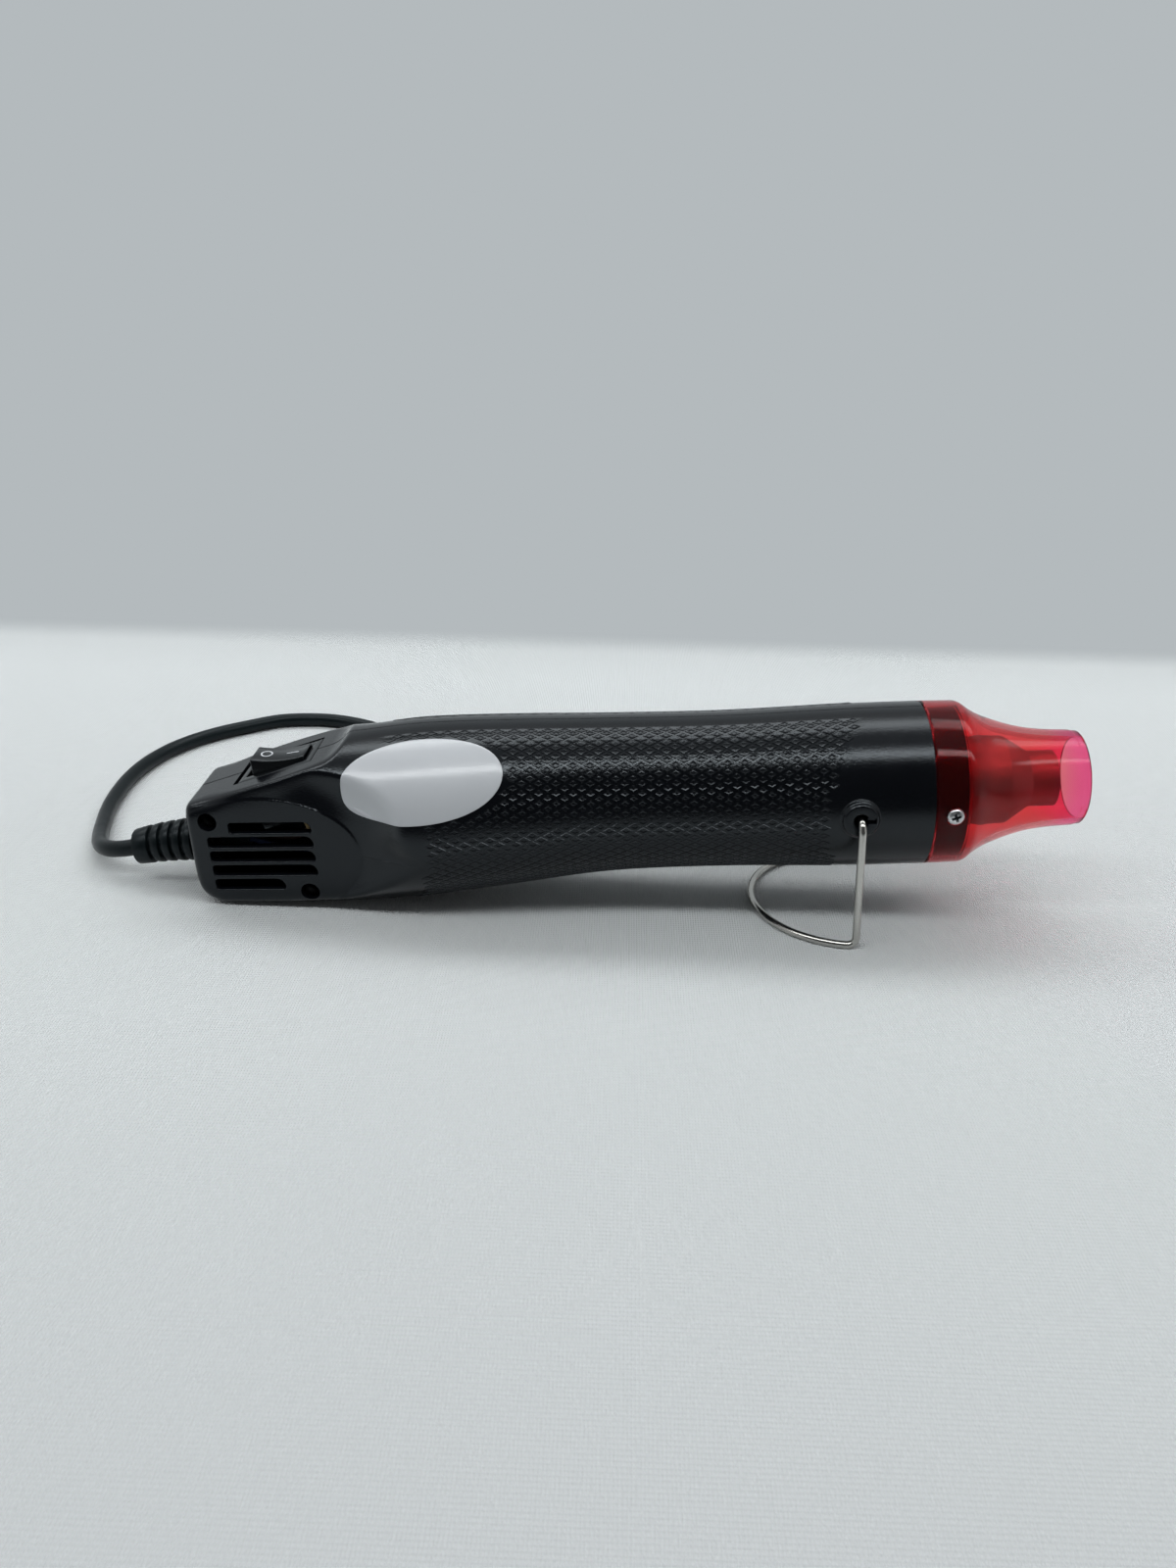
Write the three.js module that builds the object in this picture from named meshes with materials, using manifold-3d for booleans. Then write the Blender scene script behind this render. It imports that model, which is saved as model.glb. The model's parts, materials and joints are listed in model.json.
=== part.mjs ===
// Small hand-held hot air tool with a folding wire stand, in millimetres, +Z up.
// The tool is drawn in its own frame: X along the barrel towards the outlet, origin on the stand's pivot axis.
// It is then tilted until both the rear underside and the stand's foot touch the surface at Z = 0.
import * as THREE from 'three';
import { mergeVertices } from 'three/addons/utils/BufferGeometryUtils.js';
import Module from 'manifold-3d';

const wasm = await Module();
wasm.setup();

// Clearances
const GAP = 0.3;
const SHAFT_PLAY = 0.25;
const EXTRA = 40;

// Casing
const BODY_REAR = -171.5;
const BODY_FRONT = 18.4;
const WALL = 1.9;
const REAR_EDGE_RADIUS = 2;
const REAR_CORNER_RADIUS = 7;
const SLOPE_WALL = 3.6;
const SPLIT = 0.15;
const RING_SIDES = 36;
const CAVITY_SIDES = 24;
const REST_TRIM = 0.25;

// Vent panel on each side of the rear block
const PANEL_HALF_WIDTH = 15;
const PANEL_DRAFT = 0.04;
const PANEL_X = -151;
const PANEL_Z = -9;
const PANEL_LENGTH = 24.6;
const PANEL_HEIGHT = 16.5;
const PANEL_FLARE = 0.45;
const SLOT_HEIGHT = 3;
const SLOT_PITCH = 4.1;
const SLOT_TOP = 1;
const SLOT_FRONT = -138.4;
const SLOT_REAR = -166.3;
const SLOT_SHORT_REAR = -160.1;
const SLOT_SHORT_FRONT = -147.6;

// Sloping top face that carries the switch
const SLOPE_ANGLE = THREE.MathUtils.degToRad(16);
const SLOPE_REAR_Z = 5.27;
const SLOPE_END_X = -134.5;
const SLOPE_END_RADIUS = 10;
const SLOPE_END_ANGLE = THREE.MathUtils.degToRad(50);

// Front collar and heat shield
const COLLAR_RADIUS = 21.15;
const SPIGOT_WALL = 1.9;
const SPIGOT_END = 26.6;
const SHIELD_WALL = 1.65;
const SHIELD_FRONT = 58.6;
const SHIELD_TIP_RADIUS = 12.25;
const SHIELD_LIP = 0.25;
const SHIELD_SIDES = 28;
const SHIELD_OUTER = [
  [27.2, 21], [28.6, 20.3], [29.6, 19.35], [31.6, 18.1], [35.4, 16.2], [41.2, 14.15], [47.3, 13], [52, 12.5],
];
const SHIELD_INNER = [[47.3, 11.35], [41.2, 12.45], [35.4, 14.35], [31, 16.55], [28.2, 17.95]];

// Screws
const SCREW_SHANK = 1.3;
const SCREW_HEAD = 2.15;
const SCREW_HEAD_HEIGHT = 1.4;
const SCREW_CROSS = 0.7;
const SCREW_CROSS_DEPTH = 0.6;
const SHIELD_SCREW_X = 23;
const SHIELD_SCREW_LENGTH = 6.6;
const SHIELD_SCREW_SINK = 0.8;
const CASE_SCREW_LENGTH = 13;
const CASE_POST_RADIUS = 3.4;
const CASE_SCREW_LEDGE = 6.5;
const CASE_SCREWS = [[-165.4, 1.3], [-141.2, -19.3]];

// Wire stand
const WIRE_RADIUS = 1;
const LEG_CLEARANCE = 2.2;
const STAND_LEG = 34.1;
const STAND_LEAN = THREE.MathUtils.degToRad(3.3);
const STAND_BEND = 2.6;
const STAND_TAIL = 7.5;
const PIVOT_HEIGHT_PROUD = 1.05;
const PIVOT_BASE_RADIUS = 4.7;
const PIVOT_FACE_RADIUS = 4;
const PIVOT_HOLE_RADIUS = 1.75;
const PIVOT_FLOOR = 1.4;
const KEYHOLE_LENGTH = 3.7;
const KEYHOLE_HEIGHT = 1.5;

// Rocker switch, drawn in the sloping face's frame
const SWITCH_X = -148.6;
const SWITCH_SINK = 0.1;
const RECESS_LENGTH = 21.7;
const FLANGE_LENGTH = 20.8;
const FLANGE_AHEAD = 0.35;
const FLANGE_WIDTH = 15.7;
const FLANGE_HEIGHT = 1.6;
const SWITCH_LENGTH = 19;
const SWITCH_WIDTH = 14;
const SWITCH_DEPTH = 14.6;
const SWITCH_WALL = 1.1;
const SWITCH_CHAMBER = 9;
const CHAMBER_WIDTH = 9.5;
const ROCKER_CORNER = 7.1;
const ROCKER_TOP = 5.95;
const ROCKER_DIP = 0.85;
const ROCKER_UNDER = 3;
const ROCKER_PIVOT = 3.2;
const ROCKER_TILT = THREE.MathUtils.degToRad(13.5);
const ROCKER_STUD = 0.9;
const TERMINALS = [0, 6];
const TERMINAL_LENGTH = 8;
const TERMINAL_WIDTH = 4.8;
const TERMINAL_THICKNESS = 0.8;

// Strain relief
const RELIEF_Z = -10.2;
const RELIEF_LENGTH = 20;
const RELIEF_BODY_RADIUS = 6.1;
const RELIEF_END_RADIUS = 4.85;
const RELIEF_NECK = 4.5;
const RELIEF_FLANGE = 6.2;
const RELIEF_FLANGE_LENGTH = 1.7;
const RELIEF_DROOP = 0.005;
const RELIEF_RIBS = 6;
const RELIEF_PITCH = 3.07;
const RELIEF_GROOVE = 1.25;
const RELIEF_SIDES = 12;

// Fan, motor and their holder
const FAN_RADIUS = 16.4;
const FAN_HUB_RADIUS = 5.5;
const FAN_X = -115.5;
const FAN_LENGTH = 9;
const FAN_BLADES = 7;
const FAN_BLADE_THICKNESS = 1;
const FAN_BLADE_CHORD = 9;
const FAN_BLADE_PITCH = THREE.MathUtils.degToRad(50);
const DUCT_PLAY = 0.8;
const HOLDER_WALL = 1.2;
const HOLDER_REAR = -117;
const HOLDER_FRONT = -92;
const HOLDER_VANES = 5;
const HOLDER_RIBS = [-114.4, -96.2];
const RIB_THICKNESS = 1.6;
const CABLE_NOTCH = 9;
const MOTOR_RADIUS = 12;
const MOTOR_WALL = 0.8;
const MOTOR_REAR = -104;
const MOTOR_LENGTH = 25;
const MOTOR_BUSH_RADIUS = 2.8;
const SHAFT_RADIUS = 1;
const MAGNET_THICKNESS = 2.3;
const MAGNET_ANGLE = THREE.MathUtils.degToRad(70);
const MAGNET_OVERHANG = 1.5;
const WINDING_ROOM = 11;
const COMMUTATOR_RADIUS = 2.6;
const COMMUTATOR_LENGTH = 3.6;
const COMMUTATOR_PLAY = 1.4;
const END_CAP_HEIGHT = 2;
const END_CAP_SPIGOT = 1.5;
const BOARD_RADIUS = 10.5;
const BOARD_THICKNESS = 1.4;
const DIODE_RADIUS = 1.3;
const DIODE_LENGTH = 5.2;
const DIODES = [-6.6, -2.2, 2.2, 6.6];

// Heater and steel air nozzle
const NOZZLE_RADIUS = 11.5;
const NOZZLE_WALL = 0.5;
const NOZZLE_REAR = -40;
const NOZZLE_CONE = 38.8;
const NOZZLE_THROAT = 45.6;
const NOZZLE_END = 52.4;
const NOZZLE_TIP_RADIUS = 7.2;
const NOZZLE_FLANGE_RADIUS = 14;
const NOZZLE_FLANGE_THICKNESS = 0.8;
const NOZZLE_RIBS = [-42.3, -38.9, -10];
const SLEEVE_WALL = 0.5;
const SLEEVE_FRONT = 18;
const MICA = 0.8;
const MICA_FRONT = 17;
const MICA_REAR = -37;
const MICA_TAIL = -56;
const MICA_TAB = 4;
const MICA_CROSSING = -10;
const COIL_WIRE = 0.45;
const COIL_TURNS = 9;
const COIL_PITCH = 4.4;
const COIL_STEPS = 10;
const COIL_START = -30;
const CUTOUT_LENGTH = 10;
const CUTOUT_WIDTH = 6;
const CUTOUT_THICKNESS = 3.2;
const FUSE_RADIUS = 1.4;
const FUSE_LENGTH = 9;

// Leads inside the casing, between their ends
const LEAD_RADIUS = 0.75;
const LEAD_END = 2.7;
const LIVE_ROUTE = [[-156, 1.2, -10.6], [-150, 0.8, -11.2], [-146.5, 0.3, -10.3]];
const SWITCHED_ROUTE = [
  [-132, 0.5, -8.5], [-127, 2, -14.5], [-121.5, 3, -20.6], [-108, 3, -22], [-90, 3, -20.4], [-72, 3, -17],
  [-62, 3, -9],
];
const NEUTRAL_ROUTE = [
  [-154, -1.6, -11.8], [-146, -2, -13.4], [-136, -2.4, -13.6], [-127.5, -3, -17.4], [-121.5, -3, -20.8],
  [-108, -3, -22], [-90, -3, -20.4], [-72, -3, -17], [-62, -3, -9],
];

// Rating plate: a bare oval sticker
const PLATE_X = -108.5;
const PLATE_HALF_LENGTH = 20.8;
const PLATE_HALF_HEIGHT = 11.7;
const PLATE_ANGLE = THREE.MathUtils.degToRad(41);
const PLATE_LIFT = 0.15;
const PLATE_THICKNESS = 0.3;

// Supply cord, hank and plug
const CORD_DIAMETER = 4.6;
const CORD_SIDES = 8;
const HANK_X = -75;
const HANK_Y = 58;
const HANK_HALF_RUN = 34;
const HANK_FOLD_RADIUS = 13.8;
const HANK_STEP = 5.6;
const HANK_WAIST = 9.3;
const HANK_LOOPS = 4;
const HANK_LAYER = 5.2;
const HANK_END = 2;
const HANK_SIDES = 6;
const TIE_WIDTH = 9;
const TIE_THICKNESS = 0.8;
const PLUG_X = -12;
const PLUG_Y = 84;
const PLUG_Z = 7;
const PIN_RADIUS = 2;
const PIN_LENGTH = 19;
const PIN_SPACING = 19;

// Cross-sections of the casing along the barrel: position, top, bottom, half width, height of the
// widest line, and how square the upper and lower halves are (2 is round).
const STATIONS = [
  [-172, 8.3, -24, 15.2, -8, 3.2, 4.5],
  [-164, 9.5, -24, 16.8, -8, 3.2, 4.5],
  [-152, 17, -24.8, 16.4, -8, 3.2, 4.5],
  [-140, 18.5, -25.7, 18.3, -6, 3, 3.2],
  [-126, 19.8, -26.4, 21.9, -4, 2.1, 2.3],
  [-110, 21.2, -26, 23.6, -2.4, 2, 2],
  [-88, 21.3, -23.6, 22.4, -1.2, 2, 2],
  [-62, 20.75, -20.75, 20.75, 0, 2, 2],
  [-32, 20.4, -20.3, 20.35, 0, 2, 2],
  [0, 21.1, -21.1, 21.1, 0, 2, 2],
  [BODY_FRONT, COLLAR_RADIUS, -COLLAR_RADIUS, COLLAR_RADIUS, 0, 2, 2],
];

// Sizes that follow from the ones above
const BODY_RADIUS_AT_PIVOT = STATIONS[9][3];
const SPIGOT_RADIUS = COLLAR_RADIUS - SHIELD_WALL - GAP;
const BOSS_INNER = NOZZLE_RADIUS + 3.3;
const STAND_HALF_WIDTH = COLLAR_RADIUS + LEG_CLEARANCE + WIRE_RADIUS;
const PIVOT_FACE = COLLAR_RADIUS + PIVOT_HEIGHT_PROUD;
const DUCT_RADIUS = FAN_RADIUS + DUCT_PLAY;
const HOLDER_RADIUS = DUCT_RADIUS + HOLDER_WALL;
const MOTOR_FRONT = MOTOR_REAR + MOTOR_LENGTH;
const ARMATURE_LENGTH = MOTOR_LENGTH - WINDING_ROOM;
const MAGNET_LENGTH = ARMATURE_LENGTH + 2 * MAGNET_OVERHANG;
const SLEEVE_RADIUS = NOZZLE_RADIUS - NOZZLE_WALL - GAP;
const TAB_HALF = SLEEVE_RADIUS - SLEEVE_WALL - GAP;
const COIL_RADIUS = SLEEVE_RADIUS - SLEEVE_WALL - COIL_WIRE - 0.85;
const MICA_HALF = COIL_RADIUS - COIL_WIRE - 0.65;
const PIVOT_HEIGHT = STAND_LEG * Math.cos(STAND_LEAN) + WIRE_RADIUS;

const material = (color, roughness, metalness) =>
  new THREE.MeshStandardMaterial({ color, roughness, metalness });

const BLACK_PLASTIC = material(0x1b1e21, 0.5, 0);
const BLACK_GLOSS = material(0x16181a, 0.3, 0);
const RED_SHIELD = material(0xc8202c, 0.2, 0);
const STEEL = material(0xb9bcc0, 0.3, 1);
const ZINC = material(0xc9ccd0, 0.35, 1);
const BRASS = material(0xc7a45a, 0.35, 1);
const COPPER = material(0xb4703c, 0.4, 1);
const MICA_BOARD = material(0xb9a988, 0.7, 0);
const MAGNET_GREY = material(0x3a3a3d, 0.7, 0);
const FAN_RED = material(0xa02525, 0.5, 0);
const CIRCUIT_BOARD = material(0x9a7b3d, 0.6, 0);
const CORD_BLACK = material(0x202326, 0.55, 0);
const PAPER_WHITE = material(0xe4e6e9, 0.3, 0);
const WIRE_BROWN = material(0x6b3d22, 0.5, 0);
const WIRE_BLUE = material(0x2a4f9e, 0.5, 0);

// A closed mesh with merged points, no collapsed triangles, and its faces pointing out.
function closed(geometry) {
  const bare = new THREE.BufferGeometry();
  bare.setAttribute('position', geometry.getAttribute('position').clone());
  if (geometry.index) bare.setIndex(geometry.index.clone());
  const merged = mergeVertices(bare, 1e-4);
  const position = merged.getAttribute('position');
  const kept = [];
  let volume = 0;
  const [a, b, c] = [new THREE.Vector3(), new THREE.Vector3(), new THREE.Vector3()];
  for (let i = 0; i < merged.index.count; i += 3) {
    const [p, q, r] = [0, 1, 2].map((k) => merged.index.getX(i + k));
    if (p === q || q === r || r === p) continue;
    kept.push(p, q, r);
    a.fromBufferAttribute(position, p);
    b.fromBufferAttribute(position, q);
    c.fromBufferAttribute(position, r);
    volume += a.dot(b.cross(c));
  }
  if (volume < 0) kept.reverse();
  merged.setIndex(kept);
  return merged;
}

function solid(geometry) {
  const shape = closed(geometry);
  return new wasm.Manifold(new wasm.Mesh({
    numProp: 3,
    vertProperties: new Float32Array(shape.getAttribute('position').array),
    triVerts: new Uint32Array(shape.index.array),
  }));
}

function geometryOf(body) {
  const mesh = body.getMesh();
  const geometry = new THREE.BufferGeometry();
  geometry.setAttribute('position', new THREE.BufferAttribute(new Float32Array(mesh.vertProperties), 3));
  geometry.setIndex([...mesh.triVerts]);
  return geometry;
}

// A profile of [x, radius] points turned about the X axis.
function turned(profile, sides) {
  const points = profile.map(([x, radius]) => new THREE.Vector2(radius, x));
  return new THREE.LatheGeometry(points, sides).rotateZ(-Math.PI / 2);
}

function tube(x0, x1, inner, outer, sides) {
  return turned([[x0, inner], [x0, outer], [x1, outer], [x1, inner], [x0, inner]], sides);
}

function rod(x0, x1, radius, sides) {
  return turned([[x0, 0], [x0, radius], [x1, radius], [x1, 0]], sides);
}

// A round bar along Y.
function barY(y0, y1, radius, x, z, sides = 16, radiusAtEnd = radius) {
  const bar = new THREE.CylinderGeometry(radiusAtEnd, radius, Math.abs(y1 - y0), sides);
  if (y1 < y0) bar.rotateX(Math.PI);
  return bar.translate(x, (y0 + y1) / 2, z);
}

function box(x0, x1, y0, y1, z0, z1) {
  return new THREE.BoxGeometry(x1 - x0, y1 - y0, z1 - z0)
    .translate((x0 + x1) / 2, (y0 + y1) / 2, (z0 + z1) / 2);
}

// An outline in X and Z, made thick along Y.
function plateY(outline, y0, y1) {
  const shape = new THREE.Shape(outline.map(([x, z]) => new THREE.Vector2(x, z)));
  return new THREE.ExtrudeGeometry(shape, { depth: y1 - y0, bevelEnabled: false })
    .rotateX(Math.PI / 2).translate(0, y1, 0);
}

// A round section swept along a curve.
function sweep(curve, radius, sides, steps) {
  const section = new THREE.Shape(ring(sides, (angle) => [radius * Math.cos(angle), radius * Math.sin(angle)]));
  return new THREE.ExtrudeGeometry(section, { extrudePath: curve, steps, bevelEnabled: false });
}

function ring(sides, point) {
  return Array.from({ length: sides }, (_, k) => new THREE.Vector2(...point(2 * Math.PI * k / sides)));
}

// A closed skin through rings of [x, y, z] points, all with the same count.
function loft(rings) {
  const count = rings[0].length;
  const points = rings.flat();
  const faces = [];
  for (let r = 0; r + 1 < rings.length; r++) {
    for (let k = 0; k < count; k++) {
      const [a, b] = [r * count + k, r * count + (k + 1) % count];
      faces.push(a, b, a + count, b, b + count, a + count);
    }
  }
  for (const [end, order] of [[0, 1], [rings.length - 1, -1]]) {
    const centre = points.length;
    const sum = rings[end].reduce((total, p) => total.map((v, i) => v + p[i] / count), [0, 0, 0]);
    points.push(sum);
    for (let k = 0; k < count; k++) {
      const [a, b] = [end * count + k, end * count + (k + 1) % count];
      faces.push(...(order > 0 ? [b, a, centre] : [a, b, centre]));
    }
  }
  const geometry = new THREE.BufferGeometry();
  geometry.setAttribute('position', new THREE.Float32BufferAttribute(points.flat(), 3));
  geometry.setIndex(faces);
  return geometry;
}

// A value from the stations, smooth along the barrel.
function along(column, x) {
  const last = STATIONS.length - 1;
  const i = Math.min(Math.max(STATIONS.filter((s) => s[0] <= x).length - 1, 0), last - 1);
  const slope = (k) => {
    const [low, high] = [STATIONS[Math.max(k - 1, 0)], STATIONS[Math.min(k + 1, last)]];
    return (high[column] - low[column]) / (high[0] - low[0]);
  };
  const [from, to] = [STATIONS[i], STATIONS[i + 1]];
  const span = to[0] - from[0];
  const t = Math.min(Math.max((x - from[0]) / span, 0), 1);
  const [t2, t3] = [t * t, t * t * t];
  return (2 * t3 - 3 * t2 + 1) * from[column] + (t3 - 2 * t2 + t) * span * slope(i)
    + (3 * t2 - 2 * t3) * to[column] + (t3 - t2) * span * slope(i + 1);
}

// How far a rounded edge of that radius draws in at a distance from the rear face.
function drawIn(x, radius) {
  const rest = radius - Math.min(x - BODY_REAR, radius);
  return radius - Math.sqrt(Math.max(radius * radius - rest * rest, 0));
}

// The vent panel is flat up to an arc, and in front of the arc the side swells out to the barrel.
function panelLimit(x, z) {
  const across = Math.min(Math.abs(z - PANEL_Z) / PANEL_HEIGHT, 1);
  const arc = PANEL_X + PANEL_LENGTH * Math.sqrt(1 - across * across);
  return PANEL_HALF_WIDTH + PANEL_DRAFT * (x + 150) + PANEL_FLARE * Math.max(0, x - arc);
}

// The point of the casing's skin at a position along it and an angle around it, moved in by inset.
function skinPoint(x, angle, inset) {
  const edge = drawIn(x, REAR_EDGE_RADIUS) + inset;
  const middle = along(4, x);
  const upper = Math.sin(angle) >= 0;
  const height = upper
    ? along(1, x) - middle - edge
    : middle - along(2, x) - drawIn(x, REAR_CORNER_RADIUS) - inset;
  const power = 2 / along(upper ? 5 : 6, x);
  const y = (along(3, x) - edge) * Math.abs(Math.cos(angle)) ** power;
  const z = middle + Math.sign(Math.sin(angle)) * height * Math.abs(Math.sin(angle)) ** power;
  return [x, Math.sign(Math.cos(angle)) * Math.min(y, panelLimit(x, z) - edge), z];
}

function skinRing(x, sides, inset) {
  return Array.from({ length: sides }, (_, k) => skinPoint(x, 2 * Math.PI * k / sides, inset));
}

const REAR_STEPS = [0, 0.3, 1, 2, 3.5, 5.5, 7.5];
const BARREL_STEPS = [-104, -95, -86, -75, -62, -46, -28, -8, BODY_FRONT];
const BLOCK_STEP = 4;

function skinPositions() {
  const places = REAR_STEPS.map((step) => BODY_REAR + step);
  const last = BARREL_STEPS[0] - BLOCK_STEP / 2;
  for (let x = places.at(-1) + BLOCK_STEP; x < last; x += BLOCK_STEP) places.push(x);
  return [...places, ...BARREL_STEPS];
}

const slopeZ = (x) => SLOPE_REAR_Z + (x - BODY_REAR) * Math.tan(SLOPE_ANGLE);

// Everything above the sloping face, which curves up to a ridge at its front end.
function aboveSlope(drop) {
  const start = BODY_REAR - EXTRA / 4;
  const outline = [[start, slopeZ(start) - drop]];
  const centre = [
    SLOPE_END_X - SLOPE_END_RADIUS * Math.sin(SLOPE_ANGLE),
    slopeZ(SLOPE_END_X) - drop + SLOPE_END_RADIUS * Math.cos(SLOPE_ANGLE),
  ];
  const steps = 5;
  for (let k = 0; k <= steps; k++) {
    const turn = SLOPE_ANGLE + (SLOPE_END_ANGLE - SLOPE_ANGLE) * k / steps;
    const [across, down] = [SLOPE_END_RADIUS * Math.sin(turn), SLOPE_END_RADIUS * Math.cos(turn)];
    outline.push([centre[0] + across, centre[1] - down]);
  }
  const [x, z] = outline.at(-1);
  const rise = EXTRA - z;
  outline.push([x + rise / Math.tan(SLOPE_END_ANGLE), z + rise], [start, z + rise]);
  return plateY(outline, -EXTRA, EXTRA);
}

const switchFrame = new THREE.Matrix4().makeTranslation(SWITCH_X, 0, slopeZ(SWITCH_X))
  .multiply(new THREE.Matrix4().makeRotationY(-SLOPE_ANGLE));

function slotOutline(x0, x1, top) {
  const [small, large, bottom] = [0.9, 2.2, top - SLOT_HEIGHT];
  const corner = (x, z, radius, from) => [0, 1, 2, 3].map((k) => {
    const angle = from + k * Math.PI / 6;
    return [x + radius * Math.cos(angle), z + radius * Math.sin(angle)];
  });
  return [
    ...corner(x1 - large, top - large, large, 0),
    ...corner(x0 + small, top - small, small, Math.PI / 2),
    ...corner(x0 + small, bottom + small, small, Math.PI),
    ...corner(x1 - small / 2, bottom + small / 2, small / 2, -Math.PI / 2),
  ];
}

function ventSlots() {
  const ends = [
    [SLOT_SHORT_REAR, SLOT_FRONT],
    [SLOT_REAR, SLOT_FRONT],
    [SLOT_REAR, SLOT_FRONT],
    [SLOT_REAR, SLOT_FRONT],
    [SLOT_REAR, SLOT_SHORT_FRONT],
  ];
  return ends.flatMap(([x0, x1], row) => {
    const outline = slotOutline(x0, x1, SLOT_TOP - row * SLOT_PITCH);
    return [
      plateY(outline, -EXTRA, -PANEL_HALF_WIDTH + 2 * WALL),
      plateY(outline, PANEL_HALF_WIDTH - 2 * WALL, EXTRA),
    ];
  });
}

const union = (parts) => parts.map(solid).reduce((whole, part) => whole.add(part));

// Both halves of the casing in one piece, before they are parted.
function casing(tilt) {
  const places = skinPositions();
  const outside = solid(loft(places.map((x) => skinRing(x, RING_SIDES, 0)))).subtract(solid(aboveSlope(0)));
  const cavityRear = BODY_REAR + WALL;
  const cavityFront = BODY_FRONT - 4;
  const between = places.filter((x, k) => k % 2 === 0 && x > cavityRear + 1 && x < cavityFront);
  const cavityPlaces = [cavityRear, ...between, cavityFront];
  const cavity = solid(loft(cavityPlaces.map((x) => skinRing(x, CAVITY_SIDES, WALL))))
    .subtract(solid(aboveSlope(SLOPE_WALL)));
  const spigot = solid(rod(BODY_FRONT - 2, SPIGOT_END, SPIGOT_RADIUS, RING_SIDES));
  const throat = union([
    rod(cavityFront - 1, SPIGOT_END - SPIGOT_WALL, SPIGOT_RADIUS - SPIGOT_WALL, CAVITY_SIDES),
    rod(BODY_FRONT, SPIGOT_END + 1, NOZZLE_RADIUS + GAP + 0.1, CAVITY_SIDES),
  ]);
  const holderRibs = HOLDER_RIBS.map((x) => [x, HOLDER_RADIUS + GAP]);
  const nozzleRibs = NOZZLE_RIBS.map((x) => [x, NOZZLE_RADIUS + GAP]);
  const ribs = [...holderRibs, ...nozzleRibs]
    .map(([x, radius]) => solid(box(x, x + RIB_THICKNESS, -EXTRA, EXTRA, -EXTRA, EXTRA))
      .subtract(solid(rod(x - 1, x + RIB_THICKNESS + 1, radius, RING_SIDES))))
    .reduce((all, rib) => all.add(rib));
  const cableWay = solid(box(
    HOLDER_REAR, HOLDER_FRONT, -CABLE_NOTCH / 2, CABLE_NOTCH / 2, -EXTRA, -HOLDER_RADIUS,
  ));
  const posts = union(CASE_SCREWS.map(([x, z]) => barY(-EXTRA, EXTRA, CASE_POST_RADIUS, x, z)));
  const shieldBosses = union([-1, 1].map((side) => (
    barY(side * BOSS_INNER, side * SPIGOT_RADIUS, SCREW_SHANK + GAP + 1.3, SHIELD_SCREW_X, 0, 12)
  )));
  const bound = solid(loft(cavityPlaces.map((x) => skinRing(x, CAVITY_SIDES, WALL / 2))))
    .subtract(solid(aboveSlope(SLOPE_WALL / 2)));
  const inside = ribs.subtract(cableWay).add(posts).intersect(bound).add(shieldBosses.intersect(spigot));
  let body = outside.add(spigot).subtract(cavity).subtract(throat).add(inside);
  for (const side of [-1, 1]) {
    const [root, face] = [side * (BODY_RADIUS_AT_PIVOT - 1), side * PIVOT_FACE];
    body = body
      .add(solid(barY(side * BOSS_INNER, side * BODY_RADIUS_AT_PIVOT, PIVOT_FACE_RADIUS, 0, 0, 16)))
      .add(solid(barY(root, face, PIVOT_BASE_RADIUS, 0, 0, 16, PIVOT_FACE_RADIUS)))
      .subtract(solid(barY(side * (BOSS_INNER + PIVOT_FLOOR), side * EXTRA, PIVOT_HOLE_RADIUS, 0, 0, 12)))
      .subtract(solid(box(
        0, KEYHOLE_LENGTH,
        Math.min(side * (PIVOT_FACE - 4), side * EXTRA), Math.max(side * (PIVOT_FACE - 4), side * EXTRA),
        -KEYHOLE_HEIGHT / 2, KEYHOLE_HEIGHT / 2,
      )))
      .subtract(solid(barY(side * (BOSS_INNER - 1), side * EXTRA, SCREW_SHANK + GAP, SHIELD_SCREW_X, 0, 12)));
  }
  const screwTip = CASE_SCREW_LENGTH - CASE_SCREW_LEDGE + 2;
  const switchRoom = (length, width, floor) => (
    box(-length / 2 - GAP, length / 2 + GAP, -width / 2 - GAP, width / 2 + GAP, floor, EXTRA).applyMatrix4(switchFrame)
  );
  const cuts = [
    ...ventSlots(),
    ...CASE_SCREWS.map(([x, z]) => barY(-EXTRA, -CASE_SCREW_LEDGE, SCREW_HEAD + GAP + 0.1, x, z)),
    ...CASE_SCREWS.map(([x, z]) => barY(-CASE_SCREW_LEDGE - 1, screwTip, SCREW_SHANK + GAP, x, z, 12)),
    rod(BODY_REAR - 1, BODY_REAR + WALL + 1, RELIEF_NECK + GAP, CAVITY_SIDES).translate(0, 0, RELIEF_Z),
    switchRoom(RECESS_LENGTH, FLANGE_WIDTH, -SWITCH_SINK - FLANGE_HEIGHT - GAP),
    switchRoom(SWITCH_LENGTH, SWITCH_WIDTH, -SWITCH_DEPTH),
  ];
  body = cuts.reduce((rest, cut) => rest.subtract(solid(cut)), body);
  const floor = box(-EXTRA * 8, EXTRA * 8, -EXTRA, EXTRA, -EXTRA * 8, 0)
    .translate(0, 0, -PIVOT_HEIGHT)
    .rotateY(tilt);
  return body.subtract(solid(floor));
}

// The nose-up tilt at which the rear underside, trimmed flat, rests on the surface.
function restingTilt() {
  const points = skinPositions().flatMap((x) => skinRing(x, RING_SIDES, 0));
  let [low, high] = [0, 0.3];
  for (let k = 0; k < 40; k++) {
    const tilt = (low + high) / 2;
    const reach = -Math.min(...points.map(([x, , z]) => x * Math.sin(tilt) + z * Math.cos(tilt)));
    if (reach < PIVOT_HEIGHT + REST_TRIM) low = tilt;
    else high = tilt;
  }
  return low;
}

const tilt = restingTilt();
const tool = new THREE.Group();
tool.position.z = PIVOT_HEIGHT;
tool.rotation.y = -tilt;
const bench = new THREE.Group();
bench.add(tool);

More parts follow.
